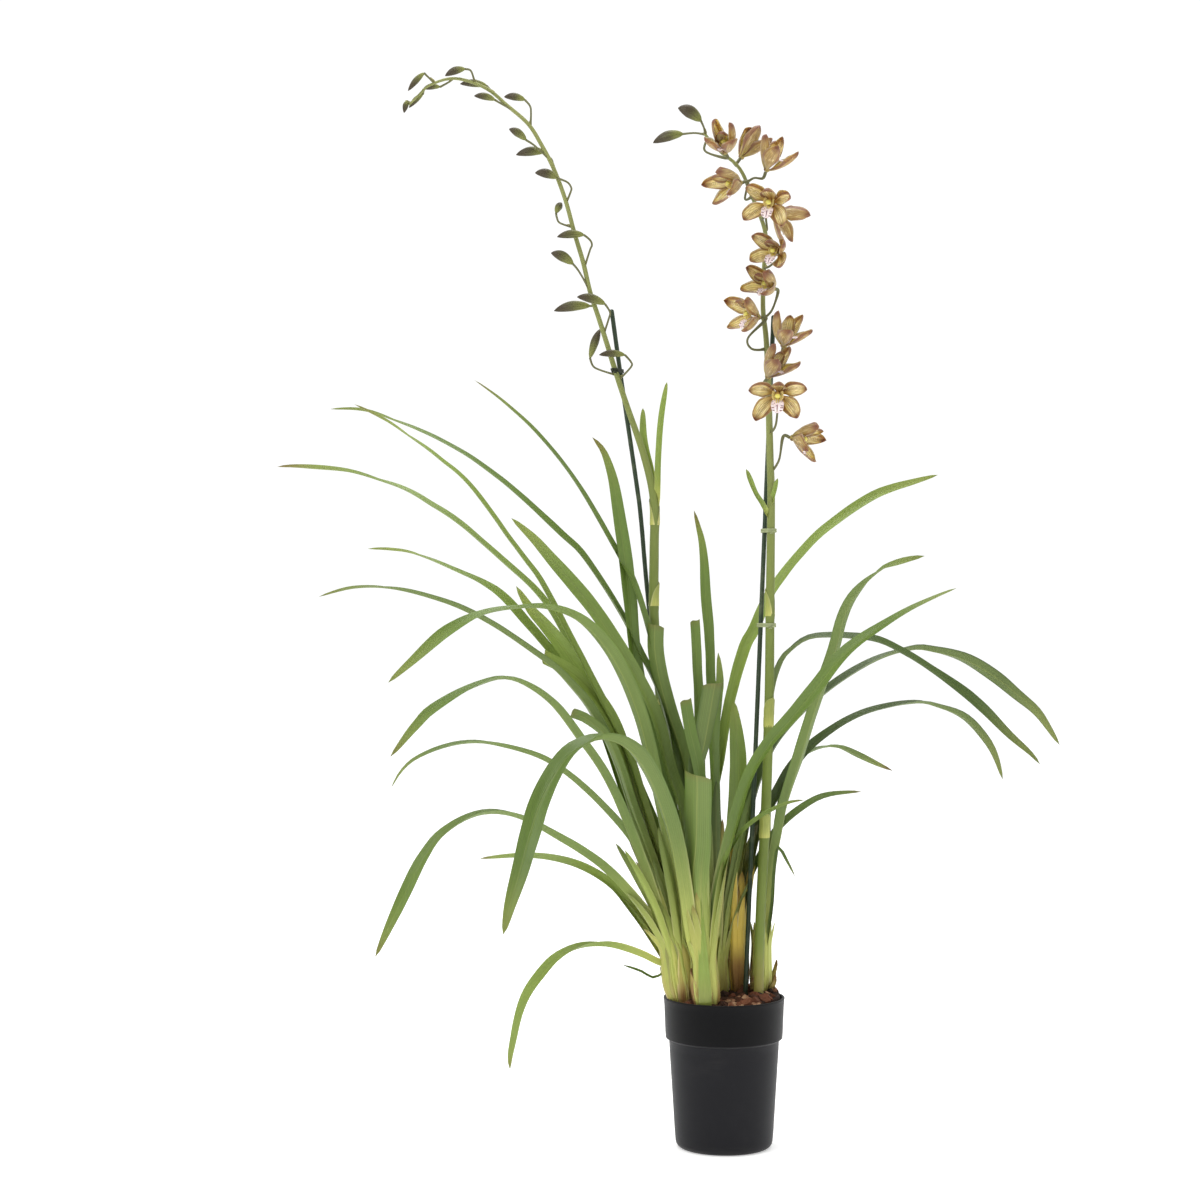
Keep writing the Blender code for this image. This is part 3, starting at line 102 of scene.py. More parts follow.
# Leaves of each shoot: breadth, depth of the tip, cut end, and the route from base to tip as
# (x, z, breadth seen from the front). A breadth seen is positive where the upper face shows.
LEAVES = {
    "shoot_front_left": (
        (16.0, -85.0, False, (
            (-46, 216, -8), (-57, 286, -11), (-79, 406, -14), (-104, 476, -14), (-139, 521, -10),
            (-176, 537, -4), (-214, 537, 1.5), (-244, 530, 4), (-279, 513, 12), (-310, 487, 13),
            (-336, 463, 10))),
        (14.0, -125.0, False, (
            (-62, 216, -8), (-84, 281, -9), (-114, 356, -9), (-144, 404, -9), (-174, 443, -8),
            (-212, 466, -2), (-244, 461, 4), (-289, 438, 8), (-309, 419, 12), (-334, 389, 8))),
        (12.0, -60.0, False, (
            (-66, 240, -7), (-89, 296, -7), (-124, 340, -6), (-172, 381, -5), (-224, 400, -3),
            (-264, 402, 3), (-304, 389, 3), (-322, 375, 3), (-333, 358, 3))),
        (14.0, -110.0, False, (
            (-66, 211, -9), (-84, 236, -9), (-124, 278, -8), (-169, 308, -6), (-209, 329, -2),
            (-244, 331, 2), (-279, 313, 7), (-299, 289, 10), (-319, 253, 12), (-339, 211, 11),
            (-349, 189, 8))),
        (11.0, 24.0, False, (
            (-72, 206, 8), (-94, 236, 8), (-114, 261, 8), (-149, 281, 7), (-194, 289, 4),
            (-245, 287, 3))),
        (11.0, -130.0, False, (
            (-69, 183, -8), (-84, 190, -6), (-109, 198, -5), (-126, 200, -3), (-144, 198, 3),
            (-164, 189, 7), (-179, 176, 10), (-194, 156, 10), (-204, 131, 6), (-212, 96, 6),
            (-214, 76, 4))),
        (3.0, -24.0, False, ((-70, 168, 2), (-84, 175, 2), (-102, 181, 2))),
    ),
    "shoot_front_middle": (
        (21.0, -170.0, False, (
            (-37, 206, -12), (-46, 266, -14), (-56, 316, -15), (-69, 356, -16), (-84, 384, -16),
            (-99, 399, -13), (-114, 406, -7), (-127, 406, 4), (-139, 401, 9), (-154, 391, 14),
            (-169, 371, 17), (-184, 341, 19), (-194, 311, 20), (-204, 276, 18), (-214, 241, 14),
            (-221, 211, 10))),
        (27.0, -66.0, True, (
            (-32, 206, -14), (-31, 266, -20), (-28, 306, -26), (-27, 346, -26), (-27, 370, -25))),
        (15.0, -84.0, False, (
            (-6, 240, 8), (1, 276, 9), (11, 316, 10), (26, 366, 10), (46, 401, 10), (71, 431, 12),
            (91, 456, 14), (126, 496, 10), (176, 530, 5), (206, 546, 3), (233, 558, 2))),
        (6.0, -62.0, False, (
            (-6, 262, 4), (11, 304, 4), (31, 326, 4), (61, 342, 3), (81, 346, 2))),
        (12.0, -34.0, True, (
            (-18, 290, 9), (-22, 346, 10), (-27, 386, 12), (-34, 416, 12), (-39, 446, 11))),
        (22.0, -30.0, True, (
            (-20, 300, -12), (-25, 371, -16), (-19, 406, -18), (-9, 462, -21))),
    ),
    "shoot_rear_left": (
        (13.0, 105.0, False, (
            (-54, 236, 8), (-84, 326, 8), (-109, 401, 8), (-134, 456, 7), (-159, 506, 7),
            (-184, 548, 6), (-224, 586, 5), (-264, 621, 5), (-294, 641, 5), (-324, 658, 3),
            (-374, 674, -3), (-424, 679, -6), (-447, 679, -6))),
        (12.0, 34.0, False, (
            (-40, 316, 7), (-49, 386, 7), (-64, 446, 6), (-84, 491, 5), (-104, 531, 4),
            (-139, 586, 6), (-164, 611, 7), (-204, 649, 5), (-244, 681, 4), (-284, 705, 3),
            (-324, 723, 3), (-359, 735, -5), (-394, 737, -3))),
        (11.0, -10.0, False, (
            (-52, 246, 7), (-78, 330, 7), (-99, 396, 7), (-124, 446, 7), (-154, 506, 6),
            (-184, 563, 5), (-204, 591, 4), (-254, 659, 4), (-284, 686, 3), (-314, 709, 2),
            (-339, 726, -4), (-370, 742, -4))),
        (11.0, 25.0, False, (
            (-38, 300, 7), (-46, 366, 7), (-56, 426, 7), (-69, 486, 6), (-89, 556, 6),
            (-104, 586, 6), (-144, 656, 4), (-184, 709, 4), (-224, 746, 3), (-250, 766, 3))),
        (16.0, -30.0, False, (
            (-42, 316, 11), (-56, 376, 12), (-69, 426, 12), (-84, 461, 12), (-124, 526, 14),
            (-149, 559, 14), (-174, 589, 13), (-194, 611, 12), (-213, 628, 8))),
        (12.0, 60.0, False, (
            (-56, 236, 8), (-82, 306, 8), (-104, 356, 8), (-124, 416, 9), (-144, 456, 9),
            (-184, 506, 8), (-219, 546, 10), (-239, 561, 5), (-264, 573, 3), (-306, 591, 2),
            (-334, 596, -9), (-357, 597, -8))),
        (12.0, -70.0, False, (
            (-55, 216, -8), (-74, 266, -8), (-94, 336, -8), (-114, 396, -9), (-134, 436, -10),
            (-154, 461, -8), (-184, 488, -6), (-254, 533, -5), (-324, 556, -3), (-369, 558, 4),
            (-406, 549, 4))),
        (10.0, -30.0, True, (
            (-56, 236, -8), (-88, 330, -8), (-112, 400, -9), (-134, 425, -10), (-152, 433, -9))),
        (15.0, 5.0, True, (
            (-54, 240, 8), (-84, 340, 9), (-110, 420, 11), (-144, 466, 13), (-181, 488, 13))),
        (17.0, 45.0, False, (
            (-52, 256, 9), (-80, 336, 10), (-114, 416, 12), (-134, 456, 14), (-159, 496, 16),
            (-179, 521, 14), (-194, 538, 10), (-208, 560, 5))),
        (15.0, 26.0, False, (
            (-42, 266, 10), (-60, 356, 11), (-79, 426, 12), (-87, 466, 12), (-92, 506, 12),
            (-95, 546, 14), (-99, 586, 14), (-104, 626, 13), (-111, 666, 12), (-120, 694, 9),
            (-132, 709, 6))),
        (17.0, 12.0, True, (
            (-35, 326, -11), (-38, 376, -12), (-46, 406, -13), (-56, 436, -15), (-64, 466, -16),
            (-69, 496, -16), (-69, 521, -16))),
    ),
    "shoot_rear_middle": (
        (11.0, 14.0, True, (
            (-18, 286, 9), (-24, 356, 10), (-26, 446, 10), (-28, 486, 10), (-30, 525, 10))),
        (12.0, 34.0, False, (
            (-10, 316, 9), (-12, 386, 10), (-14, 446, 10), (-16, 506, 10), (-18, 546, 11),
            (-21, 596, 11), (-26, 621, 10), (-30, 636, 6))),
        (12.0, -6.0, False, (
            (-10, 330, 9), (-11, 406, 10), (-7, 446, 11), (-4, 466, 11), (-6, 494, 8))),
        (13.0, 74.0, False, (
            (-10, 296, 10), (-9, 346, 10), (-2, 386, 10), (6, 436, 10), (21, 496, 12),
            (31, 516, 12), (49, 554, 9), (86, 601, 8), (116, 627, 9), (146, 648, 9),
            (171, 659, 8), (214, 671, 5))),
        (18.0, 6.0, False, (
            (2, 236, 10), (8, 276, 12), (13, 326, 16), (15, 366, 17), (13, 406, 15),
            (9, 446, 9))),
    ),
    "shoot_yellow": (
        (15.0, 60.0, False, (
            (15, 246, 8), (21, 296, 8), (31, 346, 8), (41, 376, 7), (56, 406, 7), (96, 448, 6),
            (146, 482, 4), (186, 496, -3), (211, 494, -6), (241, 486, -10), (271, 469, -13),
            (296, 449, -13), (316, 431, -11), (336, 401, -8))),
        (12.0, 64.0, False, (
            (20, 240, 7), (28, 276, 8), (36, 316, 9), (56, 356, 10), (71, 381, 10), (96, 406, 7),
            (141, 432, 5), (191, 443, 3), (216, 438, -5), (241, 428, -7), (261, 408, -8),
            (272, 389, -8), (279, 366, -6))),
        (9.0, 34.0, False, (
            (24, 256, 6), (44, 301, 6), (61, 324, 7), (86, 343, 6), (106, 351, 4), (138, 354, 3))),
    ),
    "shoot_right": (
        (14.0, -72.0, False, (
            (45, 236, -8), (49, 266, -8), (56, 306, -9), (64, 346, -10), (76, 386, -12),
            (91, 436, -12), (111, 496, -12), (119, 526, -12), (131, 551, -11), (154, 574, -3),
            (171, 582, 7), (186, 587, 8), (201, 590, 6))),
        (13.0, -15.0, False, (
            (46, 300, -7), (46, 406, -6), (49, 450, -6), (56, 478, -4), (66, 494, -3),
            (91, 508, 4), (146, 506, 7), (176, 494, 7), (206, 476, 7), (236, 456, 9),
            (261, 436, 12), (286, 411, 12), (306, 393, 9), (316, 381, 7))),
        (9.0, 88.0, False, (
            (48, 260, 6), (56, 330, 6), (66, 376, 5), (81, 391, 4), (101, 399, 2), (116, 398, -4),
            (131, 392, -7), (151, 383, -8), (169, 375, -6))),
        (4.0, -40.0, False, (
            (48, 236, 3), (50, 270, 3), (54, 298, 3), (60, 290, 3), (71, 269, 2))),
    ),
}

# Spikes: foot, then (x, depth, z, radius) up to the end
BUD_SPIKE_ROUTE = (
    (-21, 43, 116, 5.0), (-24, 42, 150, 5.0), (-34, 38, 215, 5.0), (-50, 36, 330, 5.0),
    (-62, 36, 440, 5.0), (-69, 36, 526, 5.0), (-69, 36, 596, 4.8), (-69, 35, 646, 4.4),
    (-79, 35, 691, 3.6), (-96, 35, 741, 3.0), (-107, 35, 774, 2.8), (-117, 34, 806, 2.6),
    (-126, 33, 834, 2.5), (-134, 32, 858, 2.4), (-141, 32, 888, 2.4), (-150, 31, 918, 2.3),
    (-159, 30, 951, 2.2), (-171, 30, 983, 2.2), (-184, 29, 1008, 2.1), (-197, 28, 1028, 2.0),
    (-219, 27, 1047, 1.9), (-234, 26, 1060, 1.8), (-252, 26, 1069, 1.7), (-274, 25, 1073, 1.5),
    (-296, 24, 1066, 1.3), (-306, 24, 1057, 1.2), (-317, 24, 1046, 1.1),
)
BLOOM_SPIKE_ROUTE = (
    (33, -16, 116, 5.0), (34, -16, 186, 5.0), (36, -16, 246, 5.0), (41, -16, 346, 5.0),
    (44, -16, 446, 4.7), (45, -16, 546, 4.4), (46, -16, 646, 3.9), (45, -16, 686, 3.6),
    (43, -16, 766, 3.1), (41, -16, 806, 2.7), (38, -15, 836, 2.4), (39, -15, 876, 2.2),
    (41, -14, 906, 2.1), (35, -14, 929, 2.0), (26, -13, 950, 1.9), (19, -13, 968, 1.8),
    (11, -12, 980, 1.7), (-4, -12, 992, 1.6), (-16, -12, 1005, 1.5), (-20, -12, 1010, 1.4),
)

# Breadth of a bud, and of a column, along its length, as (share of the length, share of the most)
BUD_PROFILE = (
    (0.0, 0.20), (0.12, 0.60), (0.30, 0.88), (0.50, 1.0), (0.70, 0.84), (0.88, 0.48),
    (0.97, 0.17), (1.0, 0.05),
)
COLUMN_PROFILE = (
    (0.0, 0.55), (0.2, 0.60), (0.4, 0.70), (0.6, 0.86), (0.8, 1.0), (0.93, 0.92), (1.0, 0.55),
)

# Buds: pedicel route from the stem, as (x, z) seen from the front, then the bud's tip, its
# greatest breadth, and how far it stands off in depth
BUDS = (
    (((-101, 770), (-93, 779), (-93, 784), (-99, 791)), (-125, 791), 7.0, -9.0),
    (((-106, 774), (-124, 776), (-131, 780), (-134, 788)), (-124, 817), 8.0, 8.0),
    (((-119, 816), (-115, 828), (-114, 834), (-119, 842)), (-147, 849), 9.0, -8.0),
    (((-122, 826), (-129, 838), (-134, 840)), (-170, 835), 10.0, 9.0),
    (((-134, 858), (-140, 866), (-146, 876), (-151, 882)), (-173, 893), 10.0, -7.0),
    (((-140, 884), (-134, 896), (-132, 901), (-134, 906), (-140, 911)), (-167, 909), 8.0, -9.0),
    (((-152, 922), (-164, 923), (-167, 928), (-168, 933)), (-162, 943), 7.0, 8.0),
    (((-158, 948), (-153, 955), (-153, 959), (-157, 964), (-167, 968)), (-189, 973), 9.0, -8.0),
    (((-171, 982), (-172, 986), (-176, 990), (-179, 994)), (-208, 991), 9.0, 8.0),
    (((-176, 992), (-189, 1000), (-198, 1006)), (-215, 1017), 8.0, -7.0),
    (((-194, 1024), (-193, 1033), (-194, 1040), (-199, 1046)), (-220, 1049), 7.5, 7.0),
    (((-212, 1040), (-224, 1043), (-229, 1046)), (-250, 1050), 7.0, -7.0),
    (((-232, 1057), (-237, 1060)), (-264, 1062), 7.5, 8.0),
    (((-250, 1068), (-253, 1075), (-259, 1077)), (-279, 1070), 7.5, -6.0),
    (((-272, 1072), (-275, 1064), (-284, 1059)), (-301, 1057), 6.0, 6.0),
    (((-292, 1068), (-300, 1073)), (-316, 1055), 6.0, -6.0),
    (((-302, 1062), (-301, 1052)), (-315, 1038), 5.5, 6.0),
    (((-316, 1047), (-317, 1045)), (-320, 1033), 5.5, 0.0),
)
BLOOM_SPIKE_BUDS = (
    (((-20, 1009), (-20, 1018), (-23, 1025)), (-46, 1038), 12.0, -6.0),
    (((-19, 1009), (-29, 1013), (-41, 1012)), (-71, 1003), 10.0, 7.0),
)

# Bracts: breadth, depth of the tip and route from the stem as (x, z, breadth seen)
BUD_SPIKE_BRACTS = (
    (8.0, 20.0, ((-67, 640, 6), (-65, 666, 6), (-64, 696, 6), (-62, 726, 6), (-57, 764, 4))),
    (9.0, 46.0, ((-70, 652, 7), (-75, 676, 8), (-80, 698, 8), (-82, 716, 7), (-81, 738, 4))),
)
BLOOM_SPIKE_BRACTS = (
    (7.0, -28.0, ((45, 628, 5), (37, 642, 5), (30, 654, 5), (22, 677, 4))),
    (6.0, -28.0, ((47, 640, 4), (51, 654, 4), (54, 668, 3))),
)

# Blooms: hub (x, z), depth beside the stem, facing (degrees right of the front, degrees up),
# turn about the face, how far the petals close, and the route of the pedicel from the stem
BLOOMS = (
    ((1, 995), -18.0, (-12, 32), -10, 0.85, ((-17, 1005), (-19, 995), (-10, 989))),
    ((18, 990), 17.0, (110, 54), 10, 0.85, ((8, 983), (12, 980), (16, 983))),
    ((43, 977), -4.0, (54, 60), -8, 0.62, ((22, 961), (30, 968), (38, 973))),
    ((15, 963), -22.0, (-64, -8), 14, 0.55, ((27, 946), (21, 947), (17, 954))),
    ((47, 942), -24.0, (-16, -4), -10, 0.34, ((37, 924), (40, 929), (44, 936))),
    ((51, 930), 14.0, (108, -14), 12, 0.36, ((39, 914), (43, 917), (48, 922))),
    ((54, 893), -22.0, (-30, 2), -18, 0.55, ((40, 876), (46, 880), (51, 886))),
    ((48, 858), -13.0, (-42, 14), -14, 0.70, ((41, 826), (48, 836), (50, 848))),
    ((33, 829), -14.0, (-66, 10), -6, 0.36, ((40, 795), (28, 797), (24, 808), (30, 820))),
    ((60, 801), -14.0, (30, 58), 4, 0.60, ((44, 786), (50, 788), (56, 793))),
    ((45, 770), -18.0, (40, 46), -4, 0.78, ((43, 746), (44, 752), (45, 760))),
    ((54, 751), -27.0, (-6, -12), -2, 0.16, ((46, 712), (52, 722), (55, 736))),
    ((69, 708), -6.0, (72, -8), -14, 0.42, ((46, 671), (55, 686), (62, 700))),
)

# Stakes: (x, depth, z) from the foot to the top
STAKES = {
    "stake_left": (
        (-22, 34, 24), (-33, 39, 135), (-36, 40, 161), (-73, 45, 526), (-82, 45, 626),
        (-87, 45, 666), (-102, 45, 768), (-112, 45, 840),
    ),
    "stake_right": ((16, -6, 24), (21, -6, 154), (35, -6, 490), (49, -6, 828)),
}

# Heights of the ties
TIES = {"tie_left": 779.0, "tie_right_lower": 521.0, "tie_right_upper": 615.0}
# Shader toolkit


def paint(red: float, green: float, blue: float) -> Colour:
    """A linear colour from the 0 to 255 values that a screen would show."""
    shares = (value / 255.0 for value in (red, green, blue))
    return (*(share / 12.92 if share <= 0.04045 else ((share + 0.055) / 1.055) ** 2.4
              for share in shares), 1.0)


def reckon(operation: str, flipped: bool = False) -> Callable[..., "Wire"]:
    """Makes a method that puts one Math node on a wire.

    Args:
        operation: The node's operation.
        flipped: True where the wire is the last of the values.

    Returns:
        The method, which takes the other values.
    """

    def method(self: "Wire", *others: "Wire | float") -> "Wire":
        """The node's result."""
        values = (*others, self) if flipped else (self, *others)
        return self.work.wire("ShaderNodeMath", dict(enumerate(values)), operation=operation)

    return method


class Wire:
    """A node's output that Python expressions can reckon with."""

    def __init__(self, work: "NodeWork", socket: bpy.types.NodeSocket) -> None:
        """Keeps the socket and the tree that new nodes go into."""
        self.work = work
        self.socket = socket

    __add__ = __radd__ = reckon("ADD")
    __sub__ = reckon("SUBTRACT")
    __rsub__ = reckon("SUBTRACT", flipped=True)
    __mul__ = __rmul__ = reckon("MULTIPLY")
    __pow__ = reckon("POWER")
    sine = reckon("SINE")
    size = reckon("ABSOLUTE")
    most = reckon("MAXIMUM")
    below = reckon("LESS_THAN")
    over = reckon("GREATER_THAN")

    def ease(self, low: float, high: float) -> "Wire":
        """A smooth step from 0 at low to 1 at high.

        Args:
            low: Value where the step starts.
            high: Value where it ends; it may be the smaller one, and the step then falls.

        Returns:
            The step, held between 0 and 1.
        """
        if high < low:
            return 1.0 - self.ease(high, low)
        return self.work.wire("ShaderNodeMapRange", {"Value": self, "From Min": low, "From Max": high},
                              "Result", interpolation_type="SMOOTHSTEP")


class NodeWork:
    """Adds nodes to one tree, for shaders and Geometry Nodes alike."""

    def __init__(self, tree: bpy.types.NodeTree) -> None:
        """Keeps the tree."""
        self.tree = tree

    def node(self, kind: str, values: Values | None = None, **settings: Any) -> bpy.types.Node:
        """Adds one node.

        Args:
            kind: The node's type name.
            values: A wire or a constant for input sockets, by place, name or identifier.
            settings: Properties, which are set before any socket.

        Returns:
            The node.
        """
        made = self.tree.nodes.new(kind)
        for name, value in settings.items():
            setattr(made, name, value)
        for name, value in (values or {}).items():
            socket = self.socket(made.inputs, name)
            if isinstance(value, Wire):
                self.tree.links.new(value.socket, socket)
            else:
                socket.default_value = value
        return made

    @staticmethod
    def socket(sockets: Sequence[bpy.types.NodeSocket], name: str | int) -> bpy.types.NodeSocket:
        """Finds a socket.

        Args:
            sockets: A node's inputs or outputs.
            name: Its place, or the identifier or name of one that is in use.

        Returns:
            The socket.
        """
        if isinstance(name, int):
            return sockets[name]
        return next(socket for socket in sockets
                    if socket.enabled and name in (socket.identifier, socket.name))

    def wire(self, kind: str, values: Values | None = None, output: str | int = 0,
             **settings: Any) -> Wire:
        """Adds one node and gives the wire from one of its outputs."""
        made = self.node(kind, values, **settings)
        return Wire(self, self.socket(made.outputs, output))

    def marks(self, *names: str) -> list[Wire]:
        """Marks that the mesh carries."""
        return [self.wire("ShaderNodeAttribute", {}, "Fac", attribute_name=name) for name in names]

    def here(self) -> Wire:
        """The place on the piece, in metres."""
        return self.wire("ShaderNodeTexCoord", {}, "Object")

    def split(self, where: Wire) -> list[Wire]:
        """The three values of a vector."""
        made = self.node("ShaderNodeSeparateXYZ", {0: where})
        return [Wire(self, socket) for socket in made.outputs]

    def place(self, *values: Wire | float) -> Wire:
        """A vector from three values."""
        return self.wire("ShaderNodeCombineXYZ", dict(enumerate(values)))

    def noise(self, where: Wire, scale: float, detail: float = 2.0, rough: float = 0.5) -> Wire:
        """Soft noise from 0 to 1: its place, features per unit, octaves and their strength."""
        return self.wire("ShaderNodeTexNoise", {
            "Vector": where, "Scale": scale, "Detail": detail, "Roughness": rough}, "Fac")

    def spots(self, where: Wire, scale: float, scatter: float = 1.0) -> Wire:
        """The distance to the nearest of many scattered points."""
        return self.wire("ShaderNodeTexVoronoi", {
            "Vector": where, "Scale": scale, "Randomness": scatter}, "Distance", feature="F1")

    def coats(self, base: Wire | Colour, *layers: tuple[Wire | float, Wire | Colour]) -> Wire:
        """Lays colours over each other.

        Args:
            base: The colour below.
            layers: (share, colour) pairs from the bottom up; a share of 1 hides what is below.

        Returns:
            The colour that shows.
        """
        for share, colour in layers:
            base = self.wire("ShaderNodeMix", {
                "Factor_Float": share, "A_Color": base, "B_Color": colour}, "Result_Color",
                data_type="RGBA")
        return base

    def shade(self, colour: Wire, strength: Wire | float) -> Wire:
        """A colour made brighter or darker."""
        return self.wire("ShaderNodeVectorMath", {"Vector": colour, "Scale": strength},
                         operation="SCALE")


@dataclass(frozen=True)
class Look:
    """What a finish gives its shader: colour, roughness, and a relief with its depth."""

    colour: Wire
    roughness: Wire
    relief: Wire
    depth: float


@dataclass(frozen=True)
class Finish:
    """What every finish shares: the shader and the values that are the same all over it."""

    name: str = "finish"
    specular: float = 0.5
    coat: float = 0.0
    sheen: float = 0.0
    glow: float = 0.0
    lit: float = 0.0

    def look(self, work: NodeWork) -> Look:
        """The nodes of this finish, added to a material's tree."""
        raise NotImplementedError

    def material(self) -> bpy.types.Material:
        """Makes the material.

        Returns:
            The material with its nodes.
        """
        made = bpy.data.materials.new(self.name)
        made.use_nodes = True
        made.node_tree.nodes.clear()
        work = NodeWork(made.node_tree)
        look = self.look(work)
        bump = work.wire("ShaderNodeBump", {
            "Height": look.relief, "Distance": look.depth * MM, "Strength": 1.0})
        shader = work.wire("ShaderNodeBsdfPrincipled", {
            "Base Color": look.colour, "Roughness": look.roughness, "Normal": bump,
            "Specular IOR Level": self.specular, "Coat Weight": self.coat,
            "Coat Roughness": 0.25, "Sheen Weight": self.sheen, "Sheen Roughness": 0.5,
            "Subsurface Weight": self.glow, "Subsurface Radius": (0.0030, 0.0024, 0.0010),
            "Subsurface Scale": 1.0, "Emission Color": (1.0, 1.0, 1.0, 1.0),
            "Emission Strength": self.lit})
        work.node("ShaderNodeOutputMaterial", {"Surface": shader})
        return made


@dataclass(frozen=True)
class Foliage(Finish):
    """Strap leaves with fine parallel veins, and the pale sheaths and bulbs at their feet."""

    name: str = "leaf_green"
    specular: float = 0.48
    deep: Colour = paint(58, 78, 28)
    mid: Colour = paint(94, 118, 44)
    fresh: Colour = paint(134, 154, 66)
    under: Colour = paint(116, 132, 70)
    foot: Colour = paint(172, 176, 90)
    bulb: Colour = paint(182, 172, 92)
    papery: Colour = paint(216, 204, 146)
    gold: Colour = paint(216, 188, 84)
    dry: Colour = paint(122, 84, 44)

    def look(self, work: NodeWork) -> Look:
        """Veins run along the blade; the foot is pale, the underside greyer.

        Args:
            work: The material's tree.

        Returns:
            The look.
        """
        share, across, tone, under, kind, worn = work.marks(*MARKS)
        streak = work.noise(work.place(across * 7.0 + tone * 37.0, share * 5.0, tone * 11.0), 1.0,
                            3.0)
        blotch = work.noise(work.here(), 26.0, 3.0)
        veins = (across * 46.0 + streak * 2.0).sine() * 0.5 + 0.5
        midrib = across.size().ease(0.09, 0.02)
        edge = across.size().ease(0.80, 1.0)
        pale = (share + (streak - 0.5) * 0.16).ease(0.38, 0.02) ** 1.6
        green = work.coats(
            self.deep,
            (tone.ease(0.0, 0.5), self.mid),
            (tone.ease(0.5, 1.0), self.fresh),
            (under * share.ease(0.10, 0.50) * 0.5, self.under),
            (midrib * (0.10 + under * 0.14), self.foot),
            (share.ease(0.84, 1.0) * 0.30, self.foot),
            (pale * 0.92, self.foot),
            (edge * pale * 0.5, self.papery))
        husk = work.coats(
            self.bulb,
            (tone.ease(0.16, 0.04), self.gold),
            ((edge * 0.9).most(streak.ease(0.55, 0.8) * 0.35), self.papery),
            (share.ease(0.10, 0.03) * (streak * 0.9 + 0.2), self.dry))
        green = work.coats(green, (kind, husk), (worn * (0.55 + streak * 0.9), self.dry))
        light = 0.65 + veins * 0.10 + blotch * 0.20 + streak * (0.40 + pale * 0.40)
        return Look(
            colour=work.shade(green, light),
            roughness=0.32 + under * 0.18 + streak * 0.14 + kind * 0.18,
            relief=veins * 0.6 + midrib * 0.8 + streak * 0.5, depth=0.16)


@dataclass(frozen=True)
class Stem(Finish):
    """Spike stems and pedicels: pale green below, olive above."""

    name: str = "spike_green"
    specular: float = 0.4
    low: Colour = paint(104, 120, 46)
    high: Colour = paint(134, 138, 80)
    stalk: Colour = paint(104, 104, 66)
    husk: Colour = paint(146, 130, 66)

    def look(self, work: NodeWork) -> Look:
        """Fine ribs run along the stem, with a little bloom on the green.

        Args:
            work: The material's tree.

        Returns:
            The look.
        """
        share, across, kind = work.marks("share", "across", "kind")
        here = work.here()
        flecks = work.noise(here, 260.0)
        cloud = work.noise(here, 30.0)
        ribs = (across * 40.0).sine() * 0.5 + 0.5
        green = work.coats(
            self.low,
            (share.ease(0.25, 0.85), self.high),
            (share.ease(0.11, 0.02) * (0.55 + cloud * 0.6), self.husk),
            (kind, self.stalk))
        return Look(
            colour=work.shade(green, 0.78 + cloud * 0.26 + flecks * 0.12 + ribs * 0.06),
            roughness=0.44 + flecks * 0.18, relief=ribs * 0.5 + flecks * 0.5, depth=0.12)


@dataclass(frozen=True)
class BudSkin(Finish):
    """Closed buds: olive, browner towards the tip, with seams between their sepals."""

    name: str = "bud_olive"
    specular: float = 0.4
    green: Colour = paint(122, 126, 62)
    olive: Colour = paint(88, 88, 46)
    brown: Colour = paint(60, 48, 34)

    def look(self, work: NodeWork) -> Look:
        """Brown flushes the tip and streaks down from it.

        Args:
            work: The material's tree.

        Returns:
            The look.
        """
        share, across, tone = work.marks("share", "across", "tone")
        streak = work.noise(work.place(across * 5.0 + tone * 31.0, share * 2.0, tone), 1.0, 3.0)
        seams = (across * 9.42).sine().size().ease(0.20, 0.0)
        flush = (share + streak * 0.7 + tone * 0.35).ease(0.75, 1.35)
        skin = work.coats(
            self.green,
            (share.ease(0.05, 0.55), self.olive),
            (flush * 0.9, self.brown),
            (seams * 0.4, self.green))
        return Look(
            colour=work.shade(skin, 0.80 + streak * 0.40), roughness=0.42 + streak * 0.2,
            relief=streak * 0.5 - seams, depth=0.25)


